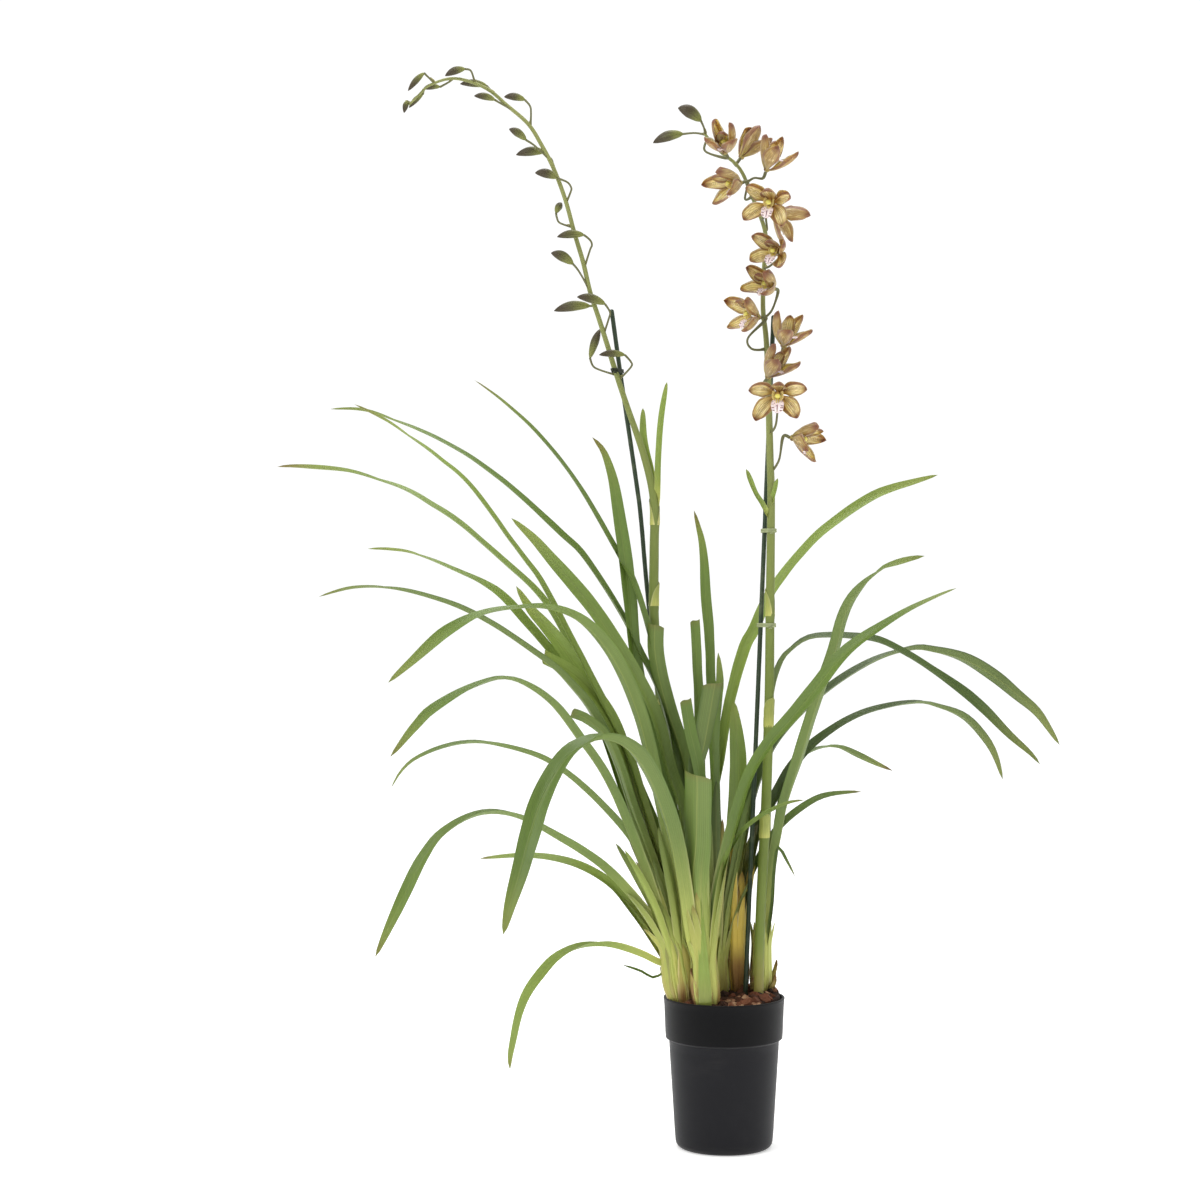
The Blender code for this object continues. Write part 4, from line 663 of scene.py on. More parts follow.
@dataclass(frozen=True)
class Petal(Finish):
    """Petals and sepals: tan with an olive middle, brown veins, and a dark red-brown margin."""

    name: str = "petal_brown"
    specular: float = 0.42
    sheen: float = 0.08
    glow: float = 0.40
    olive: Colour = paint(164, 148, 76)
    tan: Colour = paint(196, 168, 108)
    # Pale cream: partly the petal's own paler middle, partly painted glow of light shining through the
    # petal
    cream_and_glow: Colour = paint(246, 232, 186)
    # Brown of the veins, also used as painted shade on the claw next to the hub
    vein_and_shade: Colour = paint(126, 75, 41)
    margin: Colour = paint(98, 38, 30)
    back: Colour = paint(168, 149, 97)

    def look(self, work: NodeWork) -> Look:
        """Kind is 1 or -1 on the side where the dark margin is broad, 0 where it is even.

        Args:
            work: The material's tree.

        Returns:
            The look.
        """
        share, across, tone, under, kind = work.marks(*MARKS[:5])
        ragged = work.noise(work.place(across * 6.0 + tone * 29.0, share * 7.0, tone * 7.0), 1.0,
                            3.0)
        line = (across * 30.0 + ragged * 5.0).sine() * 0.5 + 0.5
        middle = share.ease(0.10, 0.45) * share.ease(0.95, 0.60)
        dots = ((share * 130.0).sine() * (across.size() - 0.10).size().ease(0.09, 0.02)).ease(
            0.45, 0.8)
        broad = (across * kind).most(0.0) * 0.62
        dark = (across.size() + broad + ragged * 0.24).ease(0.76, 1.00)
        dark = dark.most((share + ragged * 0.20).ease(0.80, 1.02))
        face = work.coats(
            self.olive,
            (across.size().ease(0.05, 0.42), self.tan),
            # Painted glow: the middle of the face is lightened towards cream, partly its own paler
            # middle
            ((ragged.ease(0.40, 0.62) * 0.50 + 0.45) * middle, self.cream_and_glow),
            (line ** 3.0 * (0.30 + ragged * 0.45), self.vein_and_shade),
            # Painted shade: the claw near the hub is darkened with the vein brown
            (share.ease(0.30, 0.0) * 0.75, self.vein_and_shade),
            (dots * share.ease(0.05, 0.25) * share.ease(0.92, 0.7), self.margin),
            (dark * 0.90, self.margin))
        rear = work.coats(
            self.back,
            (line ** 2.0 * 0.45 + ragged * 0.25, self.vein_and_shade),
            (share.ease(0.40, 0.0) * 0.7, self.olive),
            # Painted glow: cream patches in the middle of the back
            (ragged.ease(0.5, 0.75) * middle * 0.5, self.cream_and_glow),
            (dark * 0.80, self.margin))
        return Look(
            colour=work.shade(work.coats(face, (under, rear)), 0.84 + ragged * 0.32),
            roughness=0.40 + ragged * 0.20, relief=line * 0.5 + ragged * 0.7, depth=0.14)


@dataclass(frozen=True)
class Lip(Finish):
    """The lip: pinkish white with maroon spots and bars; cream, finely striped side lobes."""

    name: str = "lip_white"
    specular: float = 0.4
    glow: float = 0.15
    white: Colour = paint(238, 222, 222)
    blush: Colour = paint(222, 178, 176)
    lobe: Colour = paint(232, 212, 138)
    callus: Colour = paint(228, 206, 96)
    spot: Colour = paint(92, 26, 40)

    def look(self, work: NodeWork) -> Look:
        """Kind is 0 on the tongue, 1 on the side lobes, 2 on the two keels.

        Args:
            work: The material's tree.

        Returns:
            The look.
        """
        share, across, kind = work.marks("share", "across", "kind")
        grain = work.noise(work.here(), 420.0)
        wander = work.noise(work.place(across * 3.0, share * 3.0, grain), 2.0, 1.0)
        lobes = kind.ease(0.3, 0.7) * kind.ease(1.7, 1.3)
        keels = kind.ease(1.3, 1.7)
        field = work.spots(work.place(across * 2.6, share * 5.5, kind), 2.0, 0.75)
        blots = field.ease(0.36, 0.27) * share.ease(0.16, 0.26) * share.ease(0.76, 0.66)
        bars = ((share * 52.0).sine().ease(0.30, 0.6) * across.size().ease(0.42, 0.56)
                * across.size().ease(0.96, 0.90) * share.ease(0.60, 0.68))
        midline = across.size().ease(0.10, 0.05) * share.ease(0.60, 0.66) * share.ease(0.97, 0.93)
        stripes = ((across * 16.0 + wander * 3.0).sine().ease(0.35, 0.8)
                   * (share * 30.0).sine().ease(-0.4, 0.4))
        tongue = blots.most(bars).most(midline) * (1.0 - lobes) * (1.0 - keels)
        cloth = work.coats(
            self.white,
            (wander.ease(0.45, 0.75) * 0.6, self.blush),
            (lobes, self.lobe),
            (keels, self.callus),
            (tongue.most(stripes * lobes * 0.8) * 0.93, self.spot))
        return Look(
            colour=work.shade(cloth, 0.92 + grain * 0.14), roughness=0.46 + grain * 0.16,
            relief=grain * 0.6 + wander * 0.5, depth=0.12)


@dataclass(frozen=True)
class Column(Finish):
    """The column, tan below and flushed with brown, under a shining yellow anther cap."""

    name: str = "column_yellow"
    specular: float = 0.55
    coat: float = 0.25
    tan: Colour = paint(186, 150, 82)
    flush: Colour = paint(138, 72, 44)
    cap: Colour = paint(214, 204, 92)

    def look(self, work: NodeWork) -> Look:
        """Kind is 1 on the cap.

        Args:
            work: The material's tree.

        Returns:
            The look.
        """
        share, across, kind = work.marks("share", "across", "kind")
        grain = work.noise(work.here(), 520.0)
        freckle = work.spots(work.place(across * 4.0, share * 9.0, 0.0), 1.5).ease(0.26, 0.14)
        skin = work.coats(
            self.flush,
            (share.ease(0.1, 0.8), self.tan),
            (freckle * 0.6, self.flush),
            (kind.ease(0.2, 0.8), self.cap))
        return Look(
            colour=work.shade(skin, 0.88 + grain * 0.24), roughness=0.34 + grain * 0.14,
            relief=grain, depth=0.10)


@dataclass(frozen=True)
class BarkChips(Finish):
    """Pine bark, red-brown with grey weathered faces, and painted shade in the gaps between chips."""

    name: str = "bark_chips"
    specular: float = 0.25
    dark: Colour = paint(44, 29, 21)
    red: Colour = paint(108, 64, 43)
    pale: Colour = paint(172, 138, 106)

    def look(self, work: NodeWork) -> Look:
        """Tone differs from chip to chip; kind is 1 on the bed under them, darkened as painted shade.

        Args:
            work: The material's tree.

        Returns:
            The look.
        """
        tone, kind = work.marks("tone", "kind")
        here = work.here()
        coarse = work.noise(here, 160.0, 4.0, 0.65)
        fine = work.noise(here, 900.0, 3.0, 0.6)
        layers = (work.noise(here, 60.0) * 60.0).sine() * 0.5 + 0.5
        body = work.coats(
            self.dark,
            ((tone * 0.7 + coarse * 0.5).ease(0.25, 0.9), self.red),
            (tone.ease(0.72, 0.90) * coarse.ease(0.35, 0.6) * 0.9, self.pale),
            # Painted shade: the bed that shows between the chips is darkened
            (kind * 0.75, self.dark))
        return Look(
            colour=work.shade(body, 0.74 + coarse * 0.5 + fine * 0.25),
            roughness=0.78 + fine * 0.16,
            relief=coarse * 0.9 + fine * 0.5 + layers * 0.3, depth=0.8)


@dataclass(frozen=True)
class Plastic(Finish):
    """Charcoal moulded plastic with a fine grain, a little dust and faint scuffs."""

    name: str = "pot_plastic"
    specular: float = 0.08
    sheen: float = 0.10
    body: Colour = paint(28, 28, 31)
    dusty: Colour = paint(58, 56, 55)

    def look(self, work: NodeWork) -> Look:
        """Dust gathers under the rim and at the foot; scuffs run round the pot.

        Args:
            work: The material's tree.

        Returns:
            The look.
        """
        here = work.here()
        grain = work.noise(here, 1800.0, 2.0, 0.6)
        cloud = work.noise(here, 22.0, 3.0)
        x, y, height = work.split(here)
        scuff = work.noise(work.place(x * 14.0, y * 14.0, height * 260.0), 3.0, 3.0)
        dust = (height.ease(0.012, 0.0) * 0.5 + height.ease(0.1485, 0.150) * 0.5
                + cloud.ease(0.55, 0.8) * 0.22)
        body = work.coats(self.body, (dust * scuff.ease(0.3, 0.7), self.dusty))
        # Painted shade: the collar above the step is darkened, though it is the same plastic as the
        # body
        collar = height.ease(0.1070, 0.1100) * 0.74
        return Look(
            colour=work.shade(body, 0.90 - collar + cloud * 0.18 + grain * 0.10),
            roughness=0.40 + grain * 0.10 + scuff * 0.12,
            relief=grain * 0.7 + scuff * 0.4, depth=0.10)


@dataclass(frozen=True)
class Coated(Finish):
    """Dark green coating of the stakes, rubbed in places."""

    name: str = "stake_green"
    specular: float = 0.45
    body: Colour = paint(40, 58, 36)
    rubbed: Colour = paint(92, 100, 72)

    def look(self, work: NodeWork) -> Look:
        """Fine pits over a clouded green.

        Args:
            work: The material's tree.

        Returns:
            The look.
        """
        here = work.here()
        pits = work.noise(here, 700.0)
        cloud = work.noise(here, 60.0, 3.0)
        body = work.coats(self.body, (cloud.ease(0.55, 0.75) * 0.55, self.rubbed))
        return Look(
            colour=work.shade(body, 0.82 + cloud * 0.3), roughness=0.40 + pits * 0.22,
            relief=pits + cloud * 0.5, depth=0.2)


@dataclass(frozen=True)
class TieTape(Finish):
    """Soft tie tape, matt and slightly ribbed along its length."""

    name: str = "tie_green"
    specular: float = 0.35
    body: Colour = paint(188, 196, 148)
    shade_side: Colour = paint(120, 132, 84)

    def look(self, work: NodeWork) -> Look:
        """Ribs follow the band.

        Args:
            work: The material's tree.

        Returns:
            The look.
        """
        [across] = work.marks("across")
        grain = work.noise(work.here(), 900.0)
        ribs = (across * 22.0).sine() * 0.5 + 0.5
        body = work.coats(self.body, (ribs * 0.35 + grain * 0.3, self.shade_side))
        return Look(
            colour=work.shade(body, 0.86 + grain * 0.25), roughness=0.55 + grain * 0.2,
            relief=ribs + grain * 0.5, depth=0.15)


@dataclass(frozen=True)
class TieDark(TieTape):
    """The same tape in dark green."""

    name: str = "tie_dark"
    body: Colour = paint(54, 62, 40)
    shade_side: Colour = paint(34, 40, 26)


@dataclass(frozen=True)
class Backdrop(Finish):
    """White paper for the floor."""

    name: str = "studio_paper"
    specular: float = 0.1
    lit: float = 0.4
    white: Colour = (0.96, 0.96, 0.96, 1.0)
    warm: Colour = (0.94, 0.94, 0.93, 1.0)

    def look(self, work: NodeWork) -> Look:
        """Hardly visible cloud and fibre.

        Args:
            work: The material's tree.

        Returns:
            The look.
        """
        here = work.here()
        fibre = work.noise(here, 500.0)
        return Look(
            colour=work.coats(self.white, (work.noise(here, 3.0), self.warm)),
            roughness=0.85 + fibre * 0.1, relief=fibre, depth=0.02)


class Dress(Enum):
    """The finishes of the plant, its pot and its supports."""

    LEAF = Foliage()
    STEM = Stem()
    BUD = BudSkin()
    PETAL = Petal()
    LIP = Lip()
    COLUMN = Column()
    BARK = BarkChips()
    POT = Plastic()
    STAKE = Coated()
    TIE = TieTape()
    TIE_DARK = TieDark()
    PAPER = Backdrop()

    def material(self) -> bpy.types.Material:
        """The material of this finish, made once."""
        return bpy.data.materials.get(self.value.name) or self.value.material()


# Curves and skins


def seen_at(x: float, z: float, depth: float) -> Vector:
    """The point at this depth that the front view shows at (x, z)."""
    scale = (VIEW_DISTANCE + depth) / VIEW_DISTANCE
    return Vector((VIEW_X + (x - VIEW_X) * scale, depth, VIEW_Z + (z - VIEW_Z) * scale))


def smoothed(points: Route, per_span: int = 12) -> list[Spot]:
    """Points of any dimension along a smooth curve through the given ones.

    Args:
        points: The points that the curve passes through.
        per_span: Samples from one given point to the next.

    Returns:
        The samples, with the last given point at the end.
    """
    ends = [points[0], *points, points[-1]]
    curve: list[Spot] = []
    for spots in zip(ends, ends[1:], ends[2:], ends[3:]):
        for t in (step / per_span for step in range(per_span)):
            curve.append(tuple(
                0.5 * (2 * b + (c - a) * t + (2 * a - 5 * b + 4 * c - d) * t ** 2
                       + (3 * b - a - 3 * c + d) * t ** 3) for a, b, c, d in zip(*spots)))
    return [*curve, tuple(points[-1])]


def spaced(curve: Sequence[Spot], step: float, least: int = 4) -> list[tuple[Spot, float]]:
    """Samples of a curve at an even spacing, each with its share of the length.

    Args:
        curve: Points whose first three values are a place.
        step: Wanted spacing in millimetres.
        least: Fewest spaces.

    Returns:
        (sample, share) pairs.
    """
    lengths = [0.0]
    for start, end in zip(curve, curve[1:]):
        lengths.append(lengths[-1] + math.dist(start[:3], end[:3]))
    count = max(least, round(lengths[-1] / step))
    samples = []
    index = 0
    for number in range(count + 1):
        wanted = lengths[-1] * number / count
        while index + 2 < len(lengths) and lengths[index + 1] < wanted:
            index += 1
        gap = lengths[index + 1] - lengths[index]
        t = min(1.0, max(0.0, (wanted - lengths[index]) / gap)) if gap > 1e-9 else 0.0
        sample = tuple(a + (b - a) * t for a, b in zip(curve[index], curve[index + 1]))
        samples.append((sample, number / count))
    return samples


def eased(value: float, low: float, high: float) -> float:
    """A smooth step from 0 at low to 1 at high."""
    share = min(1.0, max(0.0, (value - low) / (high - low)))
    return share * share * (3.0 - 2.0 * share)


def limited(value: float) -> float:
    """The value, held between -1 and 1."""
    return max(-1.0, min(1.0, value))


def places(columns: int) -> list[float]:
    """The places of a sheet's columns, from -1 at one margin to 1 at the other."""
    return [2.0 * column / (columns - 1) - 1.0 for column in range(columns)]


def around(angle: float, radius: float = 1.0, height: float = 0.0) -> Vector:
    """The point at this angle round the upright axis."""
    return Vector((radius * math.cos(angle), radius * math.sin(angle), height))


def circle(radius: float, height: float, sides: int) -> list[Vector]:
    """A level ring of points."""
    return [around(math.tau * step / sides, radius, height) for step in range(sides)]


def nearest_on(route: Route, x: float, z: float) -> Vector:
    """The point of a spike that the front view shows nearest to (x, z)."""
    return min((Vector(point[:3]) for point in smoothed(route)),
               key=lambda point: (point.x - x) ** 2 + (point.z - z) ** 2)


def at_height(route: Sequence[Spot], height: float) -> Spot:
    """Finds a place on a rising route.

    Args:
        route: Its points, from low to high.
        height: The height in question.

    Returns:
        The point at this height, or the last one where the route ends below it.
    """
    for low, high in zip(route, route[1:]):
        if low[2] <= height <= high[2]:
            t = (height - low[2]) / (high[2] - low[2])
            return tuple(a + (b - a) * t for a, b in zip(low, high))
    return tuple(route[-1])


def along_at(path: Sequence[Vector], index: int) -> Vector:
    """The direction of a path at one of its points."""
    return (path[min(index + 1, len(path) - 1)] - path[max(index - 1, 0)]).normalized()


def strip(step: int, sides: int, count: int, base: int = 0) -> list[Face]:
    """Faces along one side of a row of rings of corners.

    Args:
        step: Which side.
        sides: Corners in each ring.
        count: How many rings there are.
        base: Number of the first corner.

    Returns:
        The faces, from the first ring to the last.
    """
    near = (step + 1) % sides
    return [(low + step, low + near, low + near + sides, low + step + sides)
            for low in range(base, base + (count - 1) * sides, sides)]


def distinct(*corners: int) -> Face:
    """A face whose repeated corners are dropped."""
    return tuple(dict.fromkeys(corners))


def spread(values: dict[str, float | Sequence[float]], rows: int,
           width: int) -> dict[str, list[float]]:
    """Marks for every corner, from one number or one for each row of so many corners."""
    return {mark: [number for number in ([value] * rows if isinstance(value, float)
                                         else list(value)[:rows]) for _ in range(width)]
            for mark, value in values.items()}


class Skin:
    """Closed shells that become one mesh, in millimetres, with marks on each corner."""

    def __init__(self) -> None:
        """Starts empty."""
        self.corners: list[Vector] = []
        self.faces: list[Face] = []
        self.marks: dict[str, list[float]] = {mark: [] for mark in MARKS}

    def shell(self, corners: Sequence[Vector], faces: Sequence[Face],
              marks: dict[str, Sequence[float]]) -> None:
        """Adds one closed shell, turned so that its faces look outwards.

        Args:
            corners: Its corners in millimetres.
            faces: Faces that all wind the same way.
            marks: A value for every corner, by mark.
        """
        volume = sum(corners[face[0]].dot(corners[second].cross(corners[third]))
                     for face in faces for second, third in zip(face[1:], face[2:]))
        base = len(self.corners)
        for face in faces:
            turned = face if volume > 0.0 else reversed(face)
            self.faces.append(tuple(base + corner for corner in turned))
        self.corners.extend(corners)
        for mark in MARKS:
            self.marks[mark].extend(marks.get(mark, [0.0] * len(corners)))

    def sheet(self, cloth: Sequence[Sequence[tuple[Vector, Vector, float]]],
              tip: Vector | None = None, **values: float | Sequence[float]) -> None:
        """Adds a thin closed sheet whose two faces meet at its side margins.

        Args:
            cloth: Rows from foot to tip of (middle, way up, half thickness) across the sheet.
            tip: A point that closes the sheet, or None for a plain end.
            values: Marks: one number, or one for each row.
        """
        rows, columns = len(cloth), len(cloth[0])
        width = 2 * columns - 2
        corners: list[Vector] = []
        for row in cloth:
            inner = row[1:-1]
            corners += [row[0][0], *(middle + up * half for middle, up, half in inner), row[-1][0],
                        *(middle - up * half for middle, up, half in reversed(inner))]
        faces = [face for step in range(width) for face in strip(step, width, rows)]
        last = (rows - 1) * width
        for column in range(columns - 1):
            under, beside = -column % width, -(column + 1) % width
            faces.append(distinct(under, beside, column + 1, column))
            if tip is None:
                faces.append(distinct(last + column, last + column + 1, last + beside, last + under))
        across = places(columns)
        marks: dict[str, Sequence[float]] = {
            "across": (across + across[-2:0:-1]) * rows,
            "under": ([0.0] * columns + [1.0] * (columns - 2)) * rows,
            **spread(values, rows, width)}
        if tip is not None:
            faces += [(last + step, last + (step + 1) % width, rows * width)
                      for step in range(width)]
            corners.append(tip)
            marks = {mark: [*numbers, 0.0 if mark in ("across", "under") else numbers[-1]]
                     for mark, numbers in marks.items()}
        self.shell(corners, faces, marks)

    def drum(self, rings: Sequence[Sequence[Vector]], poles: tuple[Vector, Vector],
             **values: float | Sequence[float]) -> None:
        """Adds a closed body through rings of equally many points.

        Args:
            rings: The rings, from one end to the other.
            poles: The points that close it at its two ends.
            values: Marks: one number, or one for each ring.
        """
        count, sides = len(rings), len(rings[0])
        corners = [poles[0], *(point for ring in rings for point in ring), poles[1]]
        top, last = len(corners) - 1, 1 + (count - 1) * sides
        faces: list[Face] = []
        for step in range(sides):
            near = (step + 1) % sides
            faces += [(0, 1 + near, 1 + step), (last + step, last + near, top),
                      *strip(step, sides, count, 1)]
        marks = {mark: [numbers[0], *numbers, numbers[-1]]
                 for mark, numbers in spread(values, count, sides).items()}
        across = [abs(2.0 * step / sides - 1.0) * 2.0 - 1.0 for step in range(sides)]
        marks["across"] = [0.0, *across * count, 0.0]
        self.shell(corners, faces, marks)

    def tube(self, path: Sequence[tuple[Vector, float]], sides: int,
             shape: Callable[[float, float], float] = lambda angle, share: 1.0,
             **values: float | Sequence[float]) -> None:
        """Adds a closed round body through (point, radius) pairs.

        Args:
            path: Middles and radii.
            sides: Corners in each ring.
            shape: A factor on the radius from (angle, share of the path).
            values: Marks: one number, or one for each ring.
        """
        middles = [point for point, _ in path]
        side = along_at(middles, 0).orthogonal().normalized()
        shares = [index / (len(path) - 1) for index in range(len(path))]
        rings = []
        for index, (middle, radius) in enumerate(path):
            along = along_at(middles, index)
            side = (side - along * side.dot(along)).normalized()
            other = along.cross(side)
            rings.append([
                middle + (side * math.cos(angle) + other * math.sin(angle))
                * radius * shape(angle, shares[index])
                for angle in (math.tau * step / sides for step in range(sides))])
        self.drum(rings, (middles[0], middles[-1]), **{"share": shares, **values})

    def ball(self, middle: Vector, axes: tuple[Vector, Vector, Vector], sides: int,
             count: int, **values: float) -> None:
        """Adds an ellipsoid.

        Args:
            middle: Its middle.
            axes: Its three half axes as vectors.
            sides: Corners in each ring.
            count: Rings between the poles.
            values: Marks.
        """
        first, second, third = axes
        rings = []
        for slope in (math.pi * ring / (count + 1) for ring in range(1, count + 1)):
            rings.append([middle - third * math.cos(slope)
                          + (first * spot.x + second * spot.y) * math.sin(slope)
                          for spot in circle(1.0, 0.0, sides)])
        self.drum(rings, (middle - third, middle + third), **values)

    def mesh(self, name: str, edges: Sequence[tuple[int, int]] = ()) -> bpy.types.Mesh:
        """Makes the mesh in metres.

        Args:
            name: Its name.
            edges: Loose edges, for paths that a tree turns into stems.

        Returns:
            The mesh with its marks.
        """
        made = bpy.data.meshes.new(name)
        made.from_pydata([corner * MM for corner in self.corners], edges, self.faces)
        for mark, values in self.marks.items():
            layer = made.attributes.new(mark, "FLOAT", "POINT")
            layer.data.foreach_set("value", values)
        return made


# Geometry Nodes


class Growth:
    """A Geometry Nodes tree with named inputs, which ends in realised, dressed geometry."""

    label = "growth"
    inputs: dict[str, str] = {}

    def __init__(self) -> None:
        """Builds the tree."""
        self.tree = bpy.data.node_groups.new(self.label, "GeometryNodeTree")
        self.work = NodeWork(self.tree)
        sockets = self.tree.interface
        offered = {"Geometry": "Geometry", "Finish": "Material", **self.inputs}
        for name, kind in offered.items():
            sockets.new_socket(name, in_out="INPUT", socket_type="NodeSocket" + kind)
        sockets.new_socket("Geometry", in_out="OUTPUT", socket_type="NodeSocketGeometry")
        self.entry = self.work.node("NodeGroupInput")
        real = self.work.wire("GeometryNodeRealizeInstances", {"Geometry": self.grow()})
        dressed = self.work.wire("GeometryNodeSetMaterial", {
            "Geometry": real, "Material": self.given("Finish")})
        self.work.node("NodeGroupOutput", {0: dressed})

    def given(self, name: str) -> Wire:
        """A wire from a named input."""
        return Wire(self.work, self.work.socket(self.entry.outputs, name))

    def grow(self) -> Wire:
        """The nodes of this tree, from its input to its geometry."""
        raise NotImplementedError

    def scatter(self, low: float, high: float, seed: int) -> Wire:
        """A random value for each point or piece."""
        return self.work.wire("FunctionNodeRandomValue", {"Min": low, "Max": high, "Seed": seed},
                              "Value", data_type="FLOAT")

    def store(self, geometry: Wire, name: str, value: Wire, domain: str) -> Wire:
        """Keeps a value as a mark on every point or instance."""
        return self.work.wire("GeometryNodeStoreNamedAttribute", {
            "Geometry": geometry, "Name": name, "Value": value}, data_type="FLOAT", domain=domain)

    def apply(self, name: str, base: bpy.types.Mesh, dress: Dress, **sizes: Any) -> bpy.types.Mesh:
        """Runs the tree over a mesh.

        Args:
            name: Name of the result.
            base: The mesh that it starts from.
            dress: The finish of the result.
            sizes: Named inputs, with _ for a space.

        Returns:
            The grown plain mesh.
        """
        holder = bpy.data.objects.new(name + "_base", base)
        bpy.context.scene.collection.objects.link(holder)
        modifier = holder.modifiers.new(self.label, "NODES")
        modifier.node_group = self.tree
        wanted = {"Finish": dress.material(),
                  **{size.replace("_", " "): value for size, value in sizes.items()}}
        for item in self.tree.interface.items_tree:
            if item.in_out == "INPUT" and item.name in wanted:
                modifier[item.identifier] = wanted[item.name]
        graph = bpy.context.evaluated_depsgraph_get()
        grown = bpy.data.meshes.new_from_object(holder.evaluated_get(graph))
        holder.modifiers.remove(modifier)
        bpy.data.objects.remove(holder, do_unlink=True)
        grown.name = name
        return grown


class Ripple(Growth):
    """Moves a thin sheet as a whole by soft noise, so that no blade is quite even."""

    label = "ripple"
    inputs = {"Height": "Float", "Closeness": "Float"}

    def grow(self) -> Wire:
        """Both faces of a sheet read nearly the same noise, so it keeps its thickness.

        Returns:
            The moved sheet.
        """
        work = self.work
        noise = work.wire("ShaderNodeTexNoise", {"Scale": self.given("Closeness"), "Detail": 1.5},
                          "Color", noise_dimensions="3D")
        centred = work.wire("ShaderNodeVectorMath", {0: noise, 1: (0.5, 0.5, 0.5)},
                            operation="SUBTRACT")
        return work.wire("GeometryNodeSetPosition", {
            "Geometry": self.given("Geometry"),
            "Offset": work.shade(centred, self.given("Height") * 2.0)})


class Stalks(Growth):
    """Round stems along loose edges, as thick as their mark girth says."""

    label = "stalks"
    inputs = {"Sides": "Int"}

    def grow(self) -> Wire:
        """Each run of edges becomes a curve, then a closed tube.

        Returns:
            The stems.
        """
        work = self.work
        ring = work.wire("GeometryNodeCurvePrimitiveCircle", {
            "Resolution": self.given("Sides"), "Radius": 1.0})
        factor = work.wire("GeometryNodeSplineParameter", {}, "Factor")
        ring = self.store(ring, "across", (factor * 2.0 - 1.0).size() * 2.0 - 1.0, "POINT")
        tube = work.wire("GeometryNodeCurveToMesh", {
            "Curve": work.wire("GeometryNodeMeshToCurve", {0: self.given("Geometry")}),
            "Profile Curve": ring, "Fill Caps": True,
            "Scale": work.wire("GeometryNodeInputNamedAttribute", {"Name": "girth"},
                               data_type="FLOAT")})
        return work.wire("GeometryNodeSetShadeSmooth", {0: tube})


class ChipLayer(Growth):
    """Scatters bark chips over a bed and keeps the bed."""

    label = "chip_layer"
    inputs = {"Chips": "Collection", "Spacing": "Float", "Per Area": "Float", "Reach": "Float",
              "Least": "Float", "Most": "Float", "Tilt": "Float", "Seed": "Int"}

    def grow(self) -> Wire:
        """Points on the bed's top within reach of its axis each carry one turned chip.

        Returns:
            The chips and the bed.
        """
        work, given, scatter = self.work, self.given, self.scatter
        x, y, _ = work.split(work.wire("GeometryNodeInputPosition"))
        *_, upward = work.split(work.wire("GeometryNodeInputNormal"))
        near = (x * x + y * y).below(given("Reach") * given("Reach"))
        points = work.wire("GeometryNodeDistributePointsOnFaces", {
            "Mesh": given("Geometry"), "Selection": near * upward.over(0.5),
            "Distance Min": given("Spacing"), "Density Max": given("Per Area"),
            "Seed": given("Seed")}, distribute_method="POISSON")
        chips = work.wire("GeometryNodeCollectionInfo", {
            "Collection": given("Chips"), "Separate Children": True, "Reset Children": True})
        lean = work.place(scatter(-1.0, 1.0, 11) * given("Tilt"),
                          scatter(-1.0, 1.0, 12) * given("Tilt"), scatter(0.0, math.tau, 13))
        size = scatter(0.0, 1.0, 14) * (given("Most") - given("Least")) + given("Least")
        laid = work.wire("GeometryNodeInstanceOnPoints", {
            "Points": points, "Instance": chips, "Pick Instance": True, "Scale": size,
            "Rotation": work.wire("FunctionNodeEulerToRotation", {0: lean})})
        toned = self.store(laid, "tone", scatter(0.0, 1.0, 15), "INSTANCE")
        both = work.node("GeometryNodeJoinGeometry")
        for part in (given("Geometry"), toned):
            self.tree.links.new(part.socket, both.inputs[0])
        return Wire(work, both.outputs[0])


@dataclass
class Garden:
    """The trees that the sub-assemblies share."""

    ripple: Ripple
    stalks: Stalks
    chips: ChipLayer


def settle(name: str, mesh: bpy.types.Mesh, nodes: Sequence[str],
           dress: Dress | None = None, crease: float = 60.0) -> None:
    """Makes a finished mesh a piece of the part.

    Args:
        name: Name of the piece.
        mesh: Its mesh, in metres and in place.
        nodes: The CAD nodes that it stands for.
        dress: Its finish, where the mesh doesn't carry one yet.
        crease: Angle in degrees from which an edge stays sharp.
    """
    if dress is not None:
        mesh.materials.clear()
        mesh.materials.append(dress.material())
    mesh.shade_smooth()
    mesh.set_sharp_from_angle(angle=math.radians(crease))
    piece = bpy.data.objects.new(name, mesh)
    bpy.context.scene.collection.objects.link(piece)
    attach(piece, BODY)
    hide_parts(*nodes)
    triangles = sum(len(face.vertices) - 2 for face in mesh.polygons)
    LOG.info("%s: %d triangles, stands for %s", name, triangles, ", ".join(nodes))


# Blades


@dataclass(frozen=True)
class Station:
    """One cross-section of a blade."""

    middle: Vector
    across: Vector
    up: Vector
    breadth: float
    share: float


